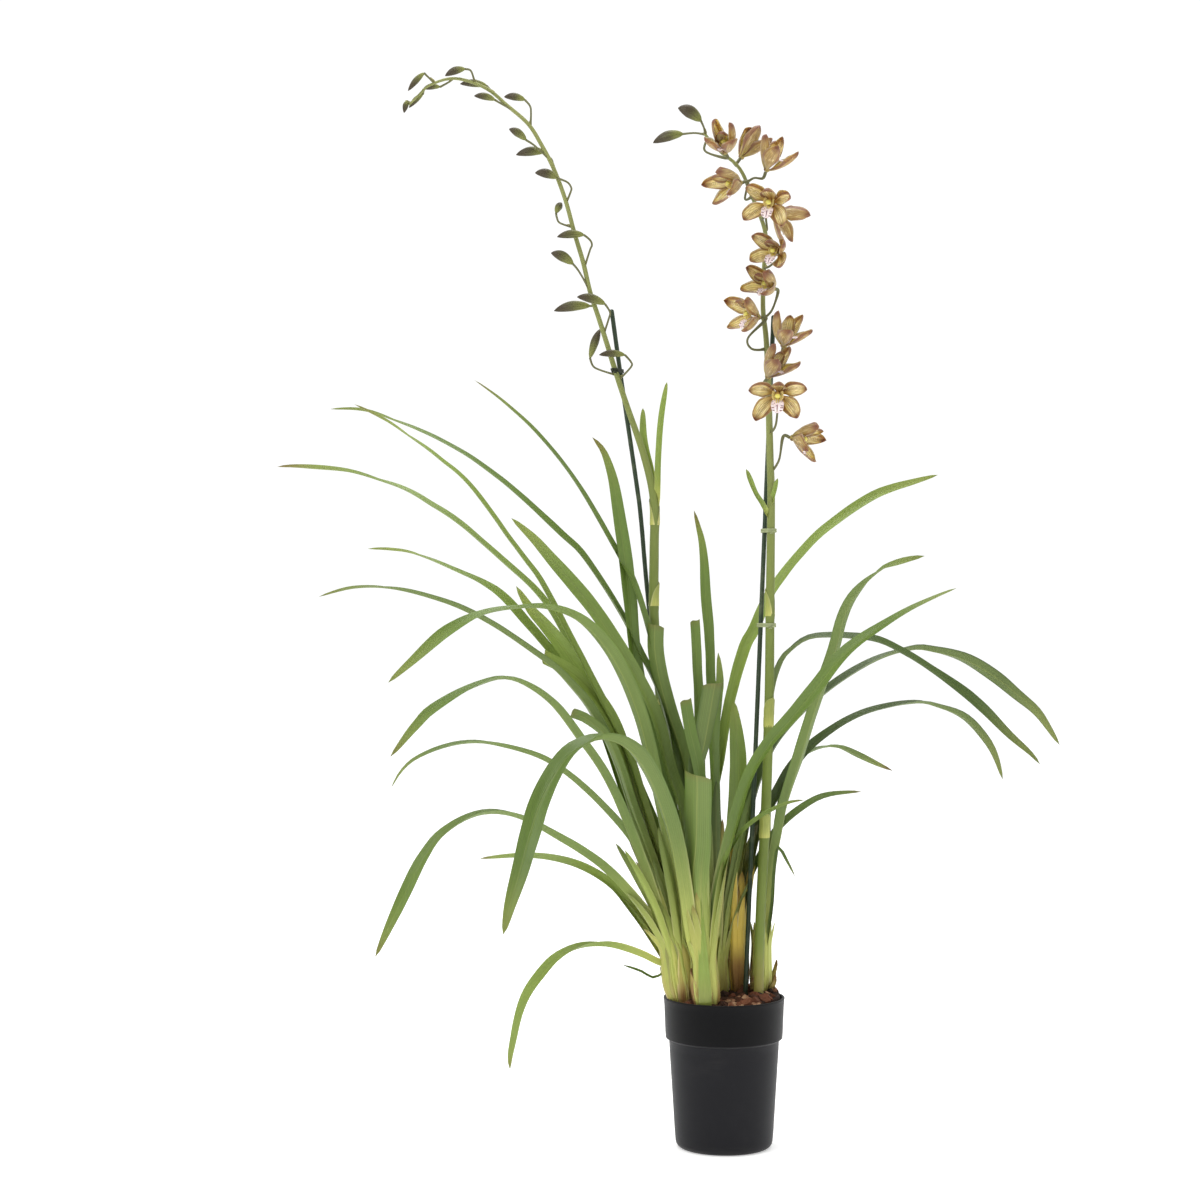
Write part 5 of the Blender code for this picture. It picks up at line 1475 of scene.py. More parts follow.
@dataclass(frozen=True)
class Blade:
    """How thick a blade is, how its section is keeled, and how finely it is made."""

    thickness: float = 1.1
    margin_thickness: float = 0.4
    columns: int = 9
    keel: float = 0.46
    flat: float = 0.18
    roundness: float = 0.14

    def rise(self, place: float, share: float, breadth: float) -> float:
        """Height of the blade's middle surface over its keel.

        Args:
            place: Place across it, from -1 to 1.
            share: Share of its length.
            breadth: Its breadth there.

        Returns:
            The height in millimetres.
        """
        fold = breadth * (self.keel * (1.0 - share) ** 2 + self.flat)
        soft = self.roundness
        bend = math.sqrt(place * place + soft * soft) - soft
        return fold * bend / (math.sqrt(1.0 + soft * soft) - soft)

    def lay(self, skin: Skin, stations: Sequence[Station], cut_end: bool, reach: float = 1.0,
            **values: float | Sequence[float]) -> None:
        """Adds a blade to a skin.

        Args:
            skin: Where it goes.
            stations: Its cross-sections.
            cut_end: True for a blunt end, slanted and a little ragged; False for a point.
            reach: What its tip counts as in the mark share, 1 for a full leaf.
            values: Other marks.
        """
        last = stations[-1]
        along = (last.middle - stations[-2].middle).normalized()
        rings = stations if cut_end else stations[:-1]
        torn = dict(zip(map(id, rings[-2:]), (0.4, 1.0))) if cut_end else {}
        cloth = []
        for ring in rings:
            row = []
            for column, place in enumerate(places(self.columns)):
                ragged = last.breadth * 0.16 * place + 0.9 * math.sin(7.0 * column)
                body = self.margin_thickness + (self.thickness - self.margin_thickness) * (
                    1.0 - abs(place)) ** 2
                row.append((
                    ring.middle + ring.across * (ring.breadth / 2 * place)
                    + ring.up * self.rise(place, ring.share, ring.breadth)
                    + along * (ragged * torn.get(id(ring), 0.0)),
                    ring.up, body * min(1.0, ring.breadth / 6.0) / 2))
            cloth.append(row)
        skin.sheet(cloth, None if cut_end else last.middle,
                   share=[ring.share * reach for ring in rings], **values)


def leaf_breadth(share: float, breadth: float, cut_end: bool) -> float:
    """Breadth along a strap leaf: narrow foot, parallel middle, long point.

    Args:
        share: Share of its length.
        breadth: Its full breadth.
        cut_end: True for a blunt end.

    Returns:
        Its breadth there.
    """
    if cut_end or share < 0.70:
        return breadth * (0.62 + 0.38 * math.sin(math.pi / 2 * min(1.0, share / 0.35)))
    taper = max(0.0, math.cos(math.pi / 2 * (share - 0.70) / 0.30))
    return breadth * max(0.06, taper ** 0.52)


def blade_stations(curve: Sequence[Spot], breadth: float, side: float, cut_end: bool,
                   step: float, turned: float | None = None) -> list[Station]:
    """Cross-sections of a blade that follows a curve.

    Args:
        curve: Points (x, y, z, breadth seen from the front).
        breadth: Its full breadth.
        side: 1 where it leans to the right, -1 to the left.
        cut_end: True for a leaf that was cut off blunt.
        step: Spacing in millimetres.
        turned: Its turn about its length in radians; worked out from what is seen if None.

    Returns:
        The cross-sections from foot to tip.
    """
    samples = spaced(curve, step)
    rolls: list[float] = []
    for sample, share in samples:
        if turned is not None:
            rolls.append(turned)
        elif share < 0.95 or not rolls:
            rolls.append(math.asin(limited(sample[3] / leaf_breadth(share, breadth, cut_end))))
        else:
            rolls.append(rolls[-1])
    for _ in range(2):
        rolls = [sum(near) / len(near) for near in (
            rolls[max(0, index - 3):index + 4] for index in range(len(rolls)))]
    spots = [Vector(sample[:3]) for sample, _ in samples]
    stations = []
    for index, ((_, share), roll) in enumerate(zip(samples, rolls)):
        along = along_at(spots, index)
        level = (AWAY - along * AWAY.dot(along)).normalized()
        upper = level.cross(along) * -side
        stations.append(Station(
            spots[index], level * math.cos(roll) + upper * math.sin(roll),
            upper * math.cos(roll) - level * math.sin(roll),
            leaf_breadth(share, breadth, cut_end), share))
    return stations


# Foliage


@dataclass(frozen=True)
class Bulb:
    """A pseudobulb: place in the bark, lean of its top, greatest radius and height of its top."""

    x: float
    y: float
    lean: float
    radius: float
    top: float

    def middle(self, share: float, drift: float = 0.0) -> Vector:
        """Its middle at a share of its height, drifting sideways above its top."""
        tall = self.top - BULB_FOOT
        return Vector((self.x + self.lean * min(1.0, share) + drift * tall * max(0.0, share - 1.0),
                       self.y, BULB_FOOT + tall * share))

    def girth(self, share: float) -> float:
        """Its radius, narrowing above the top where only leaf bases are.

        Args:
            share: Share of its height.

        Returns:
            The radius there.
        """
        if share >= 1.0:
            return self.radius * 0.50 * max(0.3, 1.0 - 0.5 * (share - 1.0))
        curve = smoothed(BULB_PROFILE, 8)
        for (low, first), (high, second) in zip(curve, curve[1:]):
            if share <= high:
                return self.radius * (first + (second - first) * (share - low) / (high - low))
        return self.radius * BULB_PROFILE[-1][1]

    def hull(self, share: float) -> float:
        """Radius of the leaf bases round it, which don't narrow with its neck."""
        if share <= 0.54:
            return self.girth(share)
        return self.radius * max(0.42, 1.0 - 0.30 * (share - 0.54))


@dataclass(frozen=True)
class Sheath:
    """A leaf base that clasps a bulb: direction, half-span, reach and lift of its free tip."""

    turn: float
    span: float
    reach: float
    lift: float
    flare: float = 0.4
    dry: float = 0.7
    green: float = 0.0


@dataclass(frozen=True)
class Fan:
    """Short leaves between a bulb and its long ones: how many, their leans and lengths."""

    count: int
    leans: tuple[float, float]
    lengths: tuple[float, float]
    breadths: tuple[float, float]
    tones: tuple[float, float] = (0.4, 1.0)


@dataclass
class Shoot:
    """A bulb with its sheaths and the leaves that grow out of it."""

    name: str
    seed: int
    sheaths: tuple[Sheath, ...]
    fan: Fan
    straw: float
    gilt: float
    stain_top: float
    tones: tuple[float, ...]
    blade: Blade = Blade()
    scale_blade: Blade = Blade(thickness=0.9, columns=7, keel=0.34, flat=0.16)
    step: float = 7.0
    bulb_rings: int = 22
    sheath_rows: int = 20
    ripple_height: float = 0.0009

    def __post_init__(self) -> None:
        """Starts its draws and its skin, and finds its bulb."""
        self.draw = random.Random(self.seed)
        self.bulb = Bulb(*BULBS["shoot_" + self.name])
        self.skin = Skin()

    def build(self, garden: Garden) -> None:
        """Makes the shoot as one piece.

        Args:
            garden: The shared trees.
        """
        node, piece = "shoot_" + self.name, "leaves_" + self.name
        shares = [index / self.bulb_rings for index in range(self.bulb_rings + 1)]
        self.skin.tube([(self.bulb.middle(share), self.bulb.girth(share)) for share in shares], 28,
                       share=[share / 2 for share in shares], kind=self.straw, tone=0.5, worn=0.4)
        for sheath in self.sheaths:
            self._clasp(sheath)
        for index in range(self.fan.count):
            self._scale(index)
        for tone, plan in zip(self.tones, LEAVES[node]):
            self._leaf(tone, *plan)
        mesh = garden.ripple.apply(piece, self.skin.mesh(piece), Dress.LEAF,
                                   Height=self.ripple_height, Closeness=22.0)
        settle(piece, mesh, [node])

    def _stained(self, height: float, dryness: float) -> float:
        """How brown a sheath is at this height: most where it meets the bark."""
        return dryness * eased(height, self.stain_top, self.stain_top - 28.0)

    def _clasp(self, sheath: Sheath) -> None:
        """Adds one sheath round the bulb, with a pointed free tip.

        Args:
            sheath: Its plan.
        """
        bulb, draw, rows = self.bulb, self.draw, self.sheath_rows
        lean = sum(self.fan.leans) / 2
        cloth, shares, worn = [], [], []
        wave = draw.uniform(0.0, math.tau)
        stain = min(1.0, draw.uniform(0.25, 0.95) * max(1.0, 4.0 * (sheath.dry - 0.8)))
        low = 0.05 + 0.33 * sheath.green
        for t in (row / (rows - 1) for row in range(rows)):
            height = 0.02 + (sheath.reach - 0.02) * t
            span = math.radians(sheath.span) * (1.0 - 0.50 * t) * math.sqrt(
                max(0.0004, 1.0 - t ** 4))
            row = []
            for place in places(15):
                out = around(math.radians(sheath.turn) + place * span)
                flare = sheath.flare * t ** 3 + 0.35 * math.sin(5.0 * place + wave + 4.0 * t)
                radius = bulb.hull(height) + sheath.lift + max(-0.3, flare) + 0.9 * place ** 4
                middle = bulb.middle(height - 0.06 * place * place * (0.4 + t), lean)
                row.append((middle + out * (radius - 0.15), out, 0.5))
            cloth.append(row)
            shares.append(low + (0.5 - low) * t)
            worn.append(max(0.75 * eased(t, 0.75, 1.0) * sheath.dry, (1.0 - sheath.green)
                            * self._stained(bulb.middle(height).z, stain)))
        self.skin.sheet(cloth, share=shares, kind=sheath.dry, worn=worn,
                        tone=max(sheath.green * 1.3, draw.uniform(0.2, 0.9) * (1.0 - self.gilt)))

    def _scale(self, index: int) -> None:
        """Adds one short leaf that hugs the bulb, then leans out with the fan.

        Args:
            index: Its number in the fan.
        """
        bulb, draw, fan = self.bulb, self.draw, self.fan
        place = (index + draw.uniform(0.2, 0.8)) / fan.count
        lean = fan.leans[0] + (fan.leans[1] - fan.leans[0]) * place
        front = -1.0 if index % 3 else 1.0
        out = around(front * math.acos(max(-0.98, min(0.98, 2.0 * place - 1.0))))
        length = draw.uniform(*fan.lengths)
        lift = draw.uniform(1.8, 3.4)
        points = [bulb.middle(height) + out * (bulb.hull(height) + lift)
                  for height in (0.03, 0.30, 0.55, 0.80, 1.0)]
        head = points[-1]
        rest = max(25.0, length - (head.z - BULB_FOOT))
        drift = draw.uniform(-0.12, 0.12)
        for t in (0.33, 0.66, 1.0):
            points.append(head + Vector((
                lean * rest * t ** 1.3 + bulb.lean * 0.4 * t, drift * rest * t,
                rest * t * (1.0 - 0.2 * abs(lean) * t))))
        stations = blade_stations(
            smoothed([(*point, 0.0) for point in points], 8), draw.uniform(*fan.breadths),
            1.0 if out.x > 0 else -1.0, False, 5.0, math.asin(out.y))
        dry = draw.random() ** 4
        stain = max(draw.uniform(0.0, 0.6), self.gilt * 0.9)
        worn = [max(eased(ring.share, 0.88, 1.0) * dry, self._stained(ring.middle.z, stain))
                for ring in stations]
        self.scale_blade.lay(self.skin, stations, False, length / 620.0,
                             kind=max(0.5 * dry, self.gilt),
                             tone=draw.uniform(*fan.tones) * (1.0 - self.gilt), worn=worn)

    def _leaf(self, tone: float, breadth: float, tip_depth: float, cut_end: bool,
              route: Route) -> None:
        """Adds one leaf from inside its bulb to its tip.

        Args:
            tone: How light it is.
            breadth: Its full breadth.
            tip_depth: Depth of its tip.
            cut_end: True for a blunt end.
            route: (x, z, breadth seen) from base to tip.
        """
        bulb, wear = self.bulb, self.draw.random()
        head_x = bulb.x + bulb.lean * 0.75
        half = bulb.radius * 0.45
        outward = limited((route[0][0] - head_x) / 24.0) * half
        foot_y = bulb.y + limited((tip_depth - bulb.y) / 60.0) * half
        picture = [(head_x + outward, bulb.top - 20.0, route[0][2]), *route]
        lengths = [0.0]
        for start, end in zip(picture, picture[1:]):
            lengths.append(lengths[-1] + math.dist(start[:2], end[:2]))
        points = [(*seen_at(x, z, foot_y + (tip_depth - foot_y) * (length / lengths[-1]) ** 1.5),
                   seen) for (x, z, seen), length in zip(picture, lengths)]
        stations = blade_stations(smoothed(points), breadth,
                                  1.0 if route[-1][0] > bulb.x else -1.0, cut_end, self.step)
        start, most, reach = (0.99, 0.25, 0.50) if cut_end else (0.94, wear ** 3, 1.0)
        worn = [eased(ring.share, start, 1.0) * most for ring in stations]
        self.blade.lay(self.skin, stations, cut_end, reach, tone=tone, worn=worn)


# Spikes


@dataclass
class Stalk:
    """A stem to be grown: (place, girth) pairs and its marks."""

    path: list[tuple[Vector, float]]
    kind: float = 0.0
    tone: float = 0.5


def stalk_mesh(name: str, stalks: Sequence[Stalk]) -> bpy.types.Mesh:
    """Loose edges with marks, one run for each stalk.

    Args:
        name: Name of the mesh.
        stalks: The stalks.

    Returns:
        A mesh that the Stalks tree turns into stems.
    """
    skin = Skin()
    edges: list[tuple[int, int]] = []
    girths: list[float] = []
    for stalk in stalks:
        base, count = len(skin.corners), len(stalk.path)
        skin.corners.extend(point for point, _ in stalk.path)
        girths.extend(girth * MM for _, girth in stalk.path)
        edges.extend((base + index, base + index + 1) for index in range(count - 1))
        marks = {"share": [index / (count - 1) for index in range(count)],
                 "kind": [stalk.kind] * count, "tone": [stalk.tone] * count}
        for mark in MARKS:
            skin.marks[mark].extend(marks.get(mark, [0.0] * count))
    mesh = skin.mesh(name, edges)
    mesh.attributes.remove(mesh.attributes["across"])
    mesh.attributes.new("girth", "FLOAT", "POINT").data.foreach_set("value", girths)
    return mesh


@dataclass
class Spike:
    """A flower spike: its stem, pedicels, buds and sheath leaves."""

    node: str
    piece: str
    route: Route
    buds: Sequence[tuple[SeenRoute, tuple[float, float], float, float]]
    bracts: Sequence[tuple[float, float, Route]]
    rings: tuple[float, ...]
    seed: int
    sides: int = 18
    sheath_rows: int = 11
    blade: Blade = Blade(thickness=0.9, columns=7, keel=0.34)

    def __post_init__(self) -> None:
        """Starts its draws and its skins."""
        self.draw = random.Random(self.seed)
        self.bud_skin, self.leaf_skin = Skin(), Skin()

    def build(self, garden: Garden, extra: Sequence[Stalk] = ()) -> None:
        """Makes the stems as one piece, the buds as another and the bracts as a third.

        Args:
            garden: The shared trees.
            extra: More stalks, such as the pedicels of open blooms.
        """
        stalks = [self._stem(), *extra]
        for start, tip, breadth, offset in self.buds:
            points = self.stalk_points(start, offset)
            stalks.append(Stalk([(Vector(point), self._pedicel_girth(share))
                                 for point, share in spaced(smoothed(points), 1.5)], 1.0))
            self._bud(points[-1], seen_at(*tip, points[-1].y + offset * 0.5), breadth)
            self._axil(points)
        for pedicel in extra:
            self._axil([point for point, _ in pedicel.path[::6]])
        for breadth, tip_depth, route in self.bracts:
            self._bract(breadth, tip_depth, route)
        for height in self.rings:
            self._node_sheath(height)
        names = [f"{self.piece}_{part}" for part in ("stems", "buds", "bracts")]
        stems = garden.stalks.apply(names[0], stalk_mesh(names[0], stalks), Dress.STEM,
                                    Sides=self.sides)
        bracts = garden.ripple.apply(names[2], self.leaf_skin.mesh(names[2]), Dress.LEAF,
                                     Height=0.0004, Closeness=22.0)
        settle(names[0], stems, [self.node])
        settle(names[1], self.bud_skin.mesh(names[1]), [self.node], Dress.BUD)
        settle(names[2], bracts, [self.node])

    def _stem(self) -> Stalk:
        """Follows the route, a little thicker at each ring where a sheath grew.

        Returns:
            The main stem.
        """
        path = []
        for sample, _ in spaced(smoothed(self.route), 5.0):
            swell = sum(math.exp(-((sample[2] - ring) / 2.6) ** 2) for ring in self.rings)
            path.append((Vector(sample[:3]), sample[3] * (1.0 + 0.10 * swell)))
        return Stalk(path)

    @staticmethod
    def _pedicel_girth(share: float) -> float:
        """A pedicel, thicker where it leaves the stem and under its bud."""
        return 0.95 + 0.35 * (1.0 - share) ** 4 + 0.25 * share ** 3

    def at(self, height: float) -> tuple[Vector, float]:
        """Middle and radius of the stem at this height, on its way up."""
        point = at_height(smoothed(self.route), height)
        return Vector(point[:3]), point[3]

    def stalk_points(self, start: SeenRoute, offset: float) -> list[Vector]:
        """Leads a pedicel out of the stem's middle, then off in depth.

        Args:
            start: Its route as seen from the front.
            offset: How far its end stands off in depth.

        Returns:
            Its points.
        """
        root = nearest_on(self.route, *start[0])
        return [root, *(seen_at(x, z, root.y + offset * (index + 1) / (len(start) - 1))
                        for index, (x, z) in enumerate(start[1:]))]

    def _bud(self, base: Vector, end: Vector, breadth: float) -> None:
        """Adds a closed bud: three sepals that meet in seams, bowed a little upwards.

        Args:
            base: Where it sits on its pedicel.
            end: Its tip.
            breadth: Its greatest breadth.
        """
        profile = smoothed(BUD_PROFILE, 4)
        shares = [min(1.0, max(0.0, share)) for share, _ in profile]
        path = [(base.lerp(end, share) + UPWARDS * (breadth * 0.22 * math.sin(math.pi * share)),
                 breadth * 0.53 * max(0.03, swell)) for share, (_, swell) in zip(shares, profile)]

        def lobed(angle: float, share: float) -> float:
            """Three rounded sides, with a groove at each seam."""
            return 1.0 + 0.05 * math.cos(3.0 * angle) - 0.07 * max(
                0.0, -math.cos(3.0 * angle)) ** 6 * math.sin(math.pi * share)

        self.bud_skin.tube(path, 24, lobed, share=shares, tone=self.draw.uniform(0.0, 1.0))

    def _axil(self, points: Sequence[Vector]) -> None:
        """Adds the small pointed bract under a pedicel.

        Args:
            points: The pedicel's points, from the stem outwards.
        """
        root = points[0]
        away = (points[1] - root).normalized()
        tip = root + away * 7.0 + UPWARDS * self.draw.uniform(-1.5, 1.0)
        curve = smoothed([(*root, 2.6), (*root.lerp(tip, 0.5), 2.2), (*tip, 1.0)], 6)
        stations = blade_stations(curve, 3.6, 1.0 if away.x > 0 else -1.0, False, 1.0)
        self.blade.lay(self.leaf_skin, stations, False, kind=0.6, tone=0.5, worn=0.25)

    def _bract(self, breadth: float, tip_depth: float, route: Route) -> None:
        """Adds a sheath leaf that hugs the stem at its foot.

        Args:
            breadth: Its full breadth.
            tip_depth: Depth of its tip.
            route: (x, z, breadth seen) from the stem to its tip.
        """
        root = nearest_on(self.route, *route[0][:2])
        points = [(*seen_at(x, z, root.y + (tip_depth - root.y) * index / (len(route) - 1)), seen)
                  for index, (x, z, seen) in enumerate(route)]
        side = 1.0 if route[-1][0] > route[0][0] else -1.0
        stations = blade_stations(smoothed(points), breadth, side, False, 3.0)
        self.blade.lay(self.leaf_skin, stations, False, kind=0.0, tone=0.9)

    def _node_sheath(self, height: float) -> None:
        """Adds a clasping sheath on the stem, open on one side and pointed above.

        Args:
            height: Height of its foot.
        """
        turn = self.draw.uniform(0.0, math.tau)
        length = self.draw.uniform(20.0, 30.0)
        steps = [row / self.sheath_rows for row in range(self.sheath_rows + 1)]
        cloth = []
        for t in steps:
            middle, girth = self.at(height + length * t)
            span = math.radians(165.0) * (1.0 - 0.35 * t) * math.sqrt(max(0.0009, 1.0 - t ** 4))
            outs = [around(turn + place * span) for place in places(13)]
            cloth.append([(middle + out * (girth + 0.3 + 0.7 * t ** 3), out, 0.27)
                          for out in outs])
        self.leaf_skin.sheet(cloth, share=[0.1 + 0.4 * t for t in steps], kind=0.35, tone=0.8)


# Blooms


@dataclass
class Bloom:
    """One open bloom: five petals and sepals, the lip and the column."""

    number: int
    hub_seen: tuple[float, float]
    offset: float
    towards: tuple[float, float]
    roll: float
    closed: float
    start: SeenRoute
    petal_length: float = 38.0
    petal_breadth: float = 16.0
    sepal_length: float = 34.0
    sepal_breadth: float = 18.0
    petal_thickness: float = 0.8
    lip_length: float = 22.0
    lip_breadth: float = 13.5
    column_length: float = 12.0
    column_radius: float = 2.3
    hub_radius: float = 3.6
    hub_back: float = 0.8
    hub_face: float = 1.2
    gap: float = 0.3
    rows: int = 20
    lip_rows: int = 22
    columns: int = 13

    def __post_init__(self) -> None:
        """Works out the hub and the axes (right, up, forward)."""
        root = nearest_on(BLOOM_SPIKE_ROUTE, *self.start[0])
        self.hub = seen_at(*self.hub_seen, root.y + self.offset)
        turn, tilt = (math.radians(angle) for angle in self.towards)
        self.forward = Vector((math.sin(turn) * math.cos(tilt), -math.cos(turn) * math.cos(tilt),
                               math.sin(tilt)))
        right = self.forward.cross(UPWARDS).normalized()
        spin = Matrix.Rotation(math.radians(self.roll), 3, self.forward)
        self.right = spin @ right
        self.up = spin @ right.cross(self.forward)
        self.draw = random.Random(400 + self.number)
        self.petal_skin, self.lip_skin, self.column_skin = Skin(), Skin(), Skin()

    def pedicel(self, spike: Spike) -> Stalk:
        """The pedicel and ovary, which end just behind the hub.

        Args:
            spike: The spike that carries the bloom.

        Returns:
            The stalk.
        """
        points = spike.stalk_points(self.start, self.offset * 0.9)
        end = self.hub - self.forward * (self.hub_radius * self.hub_back + self.gap)
        points[-1] = end - self.forward * 7.0
        points.append(end)
        return Stalk([
            (Vector(point), 1.5 * (0.70 + 0.25 * (1.0 - share) ** 4
                                   + 0.42 * eased(share, 0.45, 0.85)))
            for point, share in spaced(smoothed(points, 8), 1.5)], 1.0)

    def build(self, garden: Garden) -> None:
        """Makes the three pieces of the bloom.

        Args:
            garden: The shared trees.
        """
        self._open_petals()
        self._open_lip()
        self._bend_column()
        node, piece = f"bloom_{self.number:02d}_", f"flower_{self.number:02d}_"
        petals = garden.ripple.apply(node, self.petal_skin.mesh(node), Dress.PETAL,
                                     Height=0.0007, Closeness=70.0)
        lip = garden.ripple.apply(node, self.lip_skin.mesh(node), Dress.LIP,
                                  Height=0.0004, Closeness=160.0)
        settle(piece + "petals", petals, [node + "petals"])
        settle(piece + "lip", lip, [node + "lip"])
        settle(piece + "column", self.column_skin.mesh(node), [node + "column"],
               Dress.COLUMN)

    def _open_petals(self) -> None:
        """Adds five petals and sepals on a small hub."""
        rise, curl = 16.0 + 36.0 * self.closed, 54.0 + 60.0 * self.closed
        self._petal((0, 0), (rise + 10, curl + 30), self.sepal_length * 0.92,
                    self.sepal_breadth, 0.0)
        for side in (-1, 1):
            self._petal((side * 52, side * 104), (rise, curl), self.petal_length,
                        self.petal_breadth, float(side))
            self._petal((side * 119, side * 163), (rise - 8, curl - 16), self.sepal_length,
                        self.sepal_breadth, -0.5 * side)
        back = self.hub - self.forward * (self.hub_radius * self.hub_back)
        face = self.hub + self.forward * self.hub_face
        path = [(back.lerp(face, share), self.hub_radius
                 * (0.35 + 0.6 * math.sin(math.pi * (0.15 + 0.75 * share))))
                for share in (0.0, 0.08, 0.25, 0.5, 0.75, 0.92, 1.0)]
        self.petal_skin.tube(path, 18, share=0.05, under=1.0, tone=0.5)

    def _petal(self, clock: tuple[float, float], lift: tuple[float, float],
               length: float, breadth: float, kind: float) -> None:
        """Adds one petal: a narrow claw, then broad and cupped, with a slightly wavy margin.

        Args:
            clock: Its direction round the face at the foot and at the tip, in degrees.
            lift: How far it comes forward there, in degrees.
            length: Its length.
            breadth: Its greatest breadth.
            kind: On which side its dark margin is broad.
        """
        tone = self.draw.uniform(0.0, 1.0)
        phase = self.draw.uniform(0.0, math.tau)
        swing, bend = self.draw.uniform(-6.0, 6.0), self.draw.uniform(-14.0, 14.0)
        step = length * self.draw.uniform(0.96, 1.10) / self.rows
        point = self.hub - self.forward * 0.6
        cloth = []
        shares = [row / self.rows for row in range(self.rows + 1)]
        for share in shares:
            middle = max(0.0, share - 0.5 / self.rows)
            turn = math.radians(clock[0] + swing + (clock[1] - clock[0]) * middle)
            rise = math.radians(lift[0] - bend / 2 + (lift[1] - lift[0] + 1.5 * bend) * middle
                                + 36.0 * eased(middle, 0.78, 1.0))
            radial = self.up * math.cos(turn) + self.right * math.sin(turn)
            along = radial * math.cos(rise) + self.forward * math.sin(rise)
            facing = self.forward * math.cos(rise) - radial * math.sin(rise)
            point = point + (along * step if share else radial * self.hub_radius * 0.75)
            full = breadth * (0.18 + 0.82 * eased(share, -0.04, 0.48)) * max(
                0.0, 1.0 - share ** 3.8) ** 0.62
            row = []
            for place in places(self.columns):
                wave = 0.6 * abs(place) ** 3 * math.sin(11.0 * share + phase + 1.5 * place)
                crease = 0.35 * math.exp(-(place / 0.12) ** 2) * (1.0 - share)
                height = full * 0.36 * place * place + wave - crease
                row.append((point + along.cross(facing) * (full / 2 * place) + facing * height,
                            facing, self.petal_thickness / 2 * (1.0 - 0.55 * abs(place))
                            * min(1.0, full / 4.0)))
            cloth.append(row)
        self.petal_skin.sheet(cloth[:-1], point, share=shares[:-1], tone=tone, kind=kind)

    def _open_lip(self) -> None:
        """Adds a tongue that comes forward and hangs, two raised side lobes and two keels."""
        start = self.hub + self.forward * (self.hub_face + self.gap + 0.55) - self.up * 1.5
        snug = 1.0 - 0.42 * self.closed
        hang = 106.0 * (1.0 - 0.3 * self.closed)
        point = start.copy()
        shares = [row / self.lip_rows for row in range(self.lip_rows + 1)]
        cloth = []
        ridge: list[Vector] = []
        for share in shares:
            rise = math.radians(84.0 - hang * share ** 1.3)
            if share:
                point = point + (self.forward * math.sin(rise) - self.up * math.cos(rise)) * (
                    self.lip_length * snug ** 0.5 / self.lip_rows)
            facing = self.up * math.sin(rise) + self.forward * math.cos(rise)
            full = self.lip_breadth * snug * (0.42 + 0.58 * eased(share, 0.22, 0.58)) * math.sqrt(
                max(0.02, 1.0 - max(0.0, (share - 0.60) / 0.40) ** 2.6))
            row = []
            for place in places(self.columns):
                frill = 0.8 * snug * abs(place) ** 3 * math.sin(30.0 * share + 2.0 * place)
                height = full * 0.08 * place * place + frill * eased(share, 0.3, 0.6)
                row.append((point + self.right * (full / 2 * place) + facing * height,
                            facing, 0.4))
            cloth.append(row)
            if 0.08 < share < 0.58:
                ridge.append(point + facing * 0.5)
        self.lip_skin.sheet(cloth, share=shares, kind=0.0)
        for side in (-1.0, 1.0):
            keel = [(place + self.right * (side * 1.1 * snug),
                     0.62 * math.sin(math.pi * (0.08 + 0.84 * index / (len(ridge) - 1))))
                    for index, place in enumerate(ridge)]
            self.lip_skin.tube(keel, 8, kind=2.0)
            self._side_lobe(start, side, snug)

    def _side_lobe(self, start: Vector, side: float, snug: float) -> None:
        """Adds a lobe that stands up beside the column and arches inwards.

        Args:
            start: Where the lip starts.
            side: 1 for the right one, -1 for the left one.
            snug: How narrow a half-closed bloom makes it, 1 for an open one.
        """
        out = self.right * side
        foot = start + self.forward * 6.5 + out * 2.6 * snug - self.up * 1.6
        rising = (self.up * 0.86 + out * 0.42 + self.forward * 0.28).normalized()
        inward = (self.up * 0.34 - out * 0.66 + self.forward * 0.62).normalized()
        shares = [row / 10 for row in range(11)]
        cloth = []
        for share in shares:
            full = 8.0 * snug * (0.86 + 0.2 * math.sin(math.pi * share)) * math.sqrt(
                max(0.03, 1.0 - share ** 4))
            middle = foot + rising * (9.5 * snug * share) + inward * (1.6 * snug * share ** 2)
            cloth.append([
                (middle + rising.cross(inward) * (full / 2 * place) + inward
                 * (0.5 * place * place + 0.25 * math.sin(9.0 * share) * abs(place) ** 3),
                 inward, 0.4) for place in places(9)])
        self.lip_skin.sheet(cloth, share=shares, kind=1.0)

    def _bend_column(self) -> None:
        """Adds the curved column and the anther cap at its end."""
        start = self.hub + self.forward * (self.hub_face + self.gap) + self.up * 1.6
        profile = [(min(1.0, share), swell) for share, swell in smoothed(COLUMN_PROFILE, 3)]
        path = [(start + self.forward * (self.column_length * share)
                 + self.up * (1.6 * math.sin(math.pi * share) - 1.2 * share),
                 self.column_radius * swell) for share, swell in profile]
        self.column_skin.tube(path, 18, share=[share for share, _ in profile], kind=0.0)
        self.column_skin.ball(path[-1][0] - self.forward * 0.8 + self.up * 0.2,
                              (self.right * 2.9, self.up * 2.4, self.forward * 1.8), 18, 10,
                              share=1.0, kind=1.0)


# Pot and supports


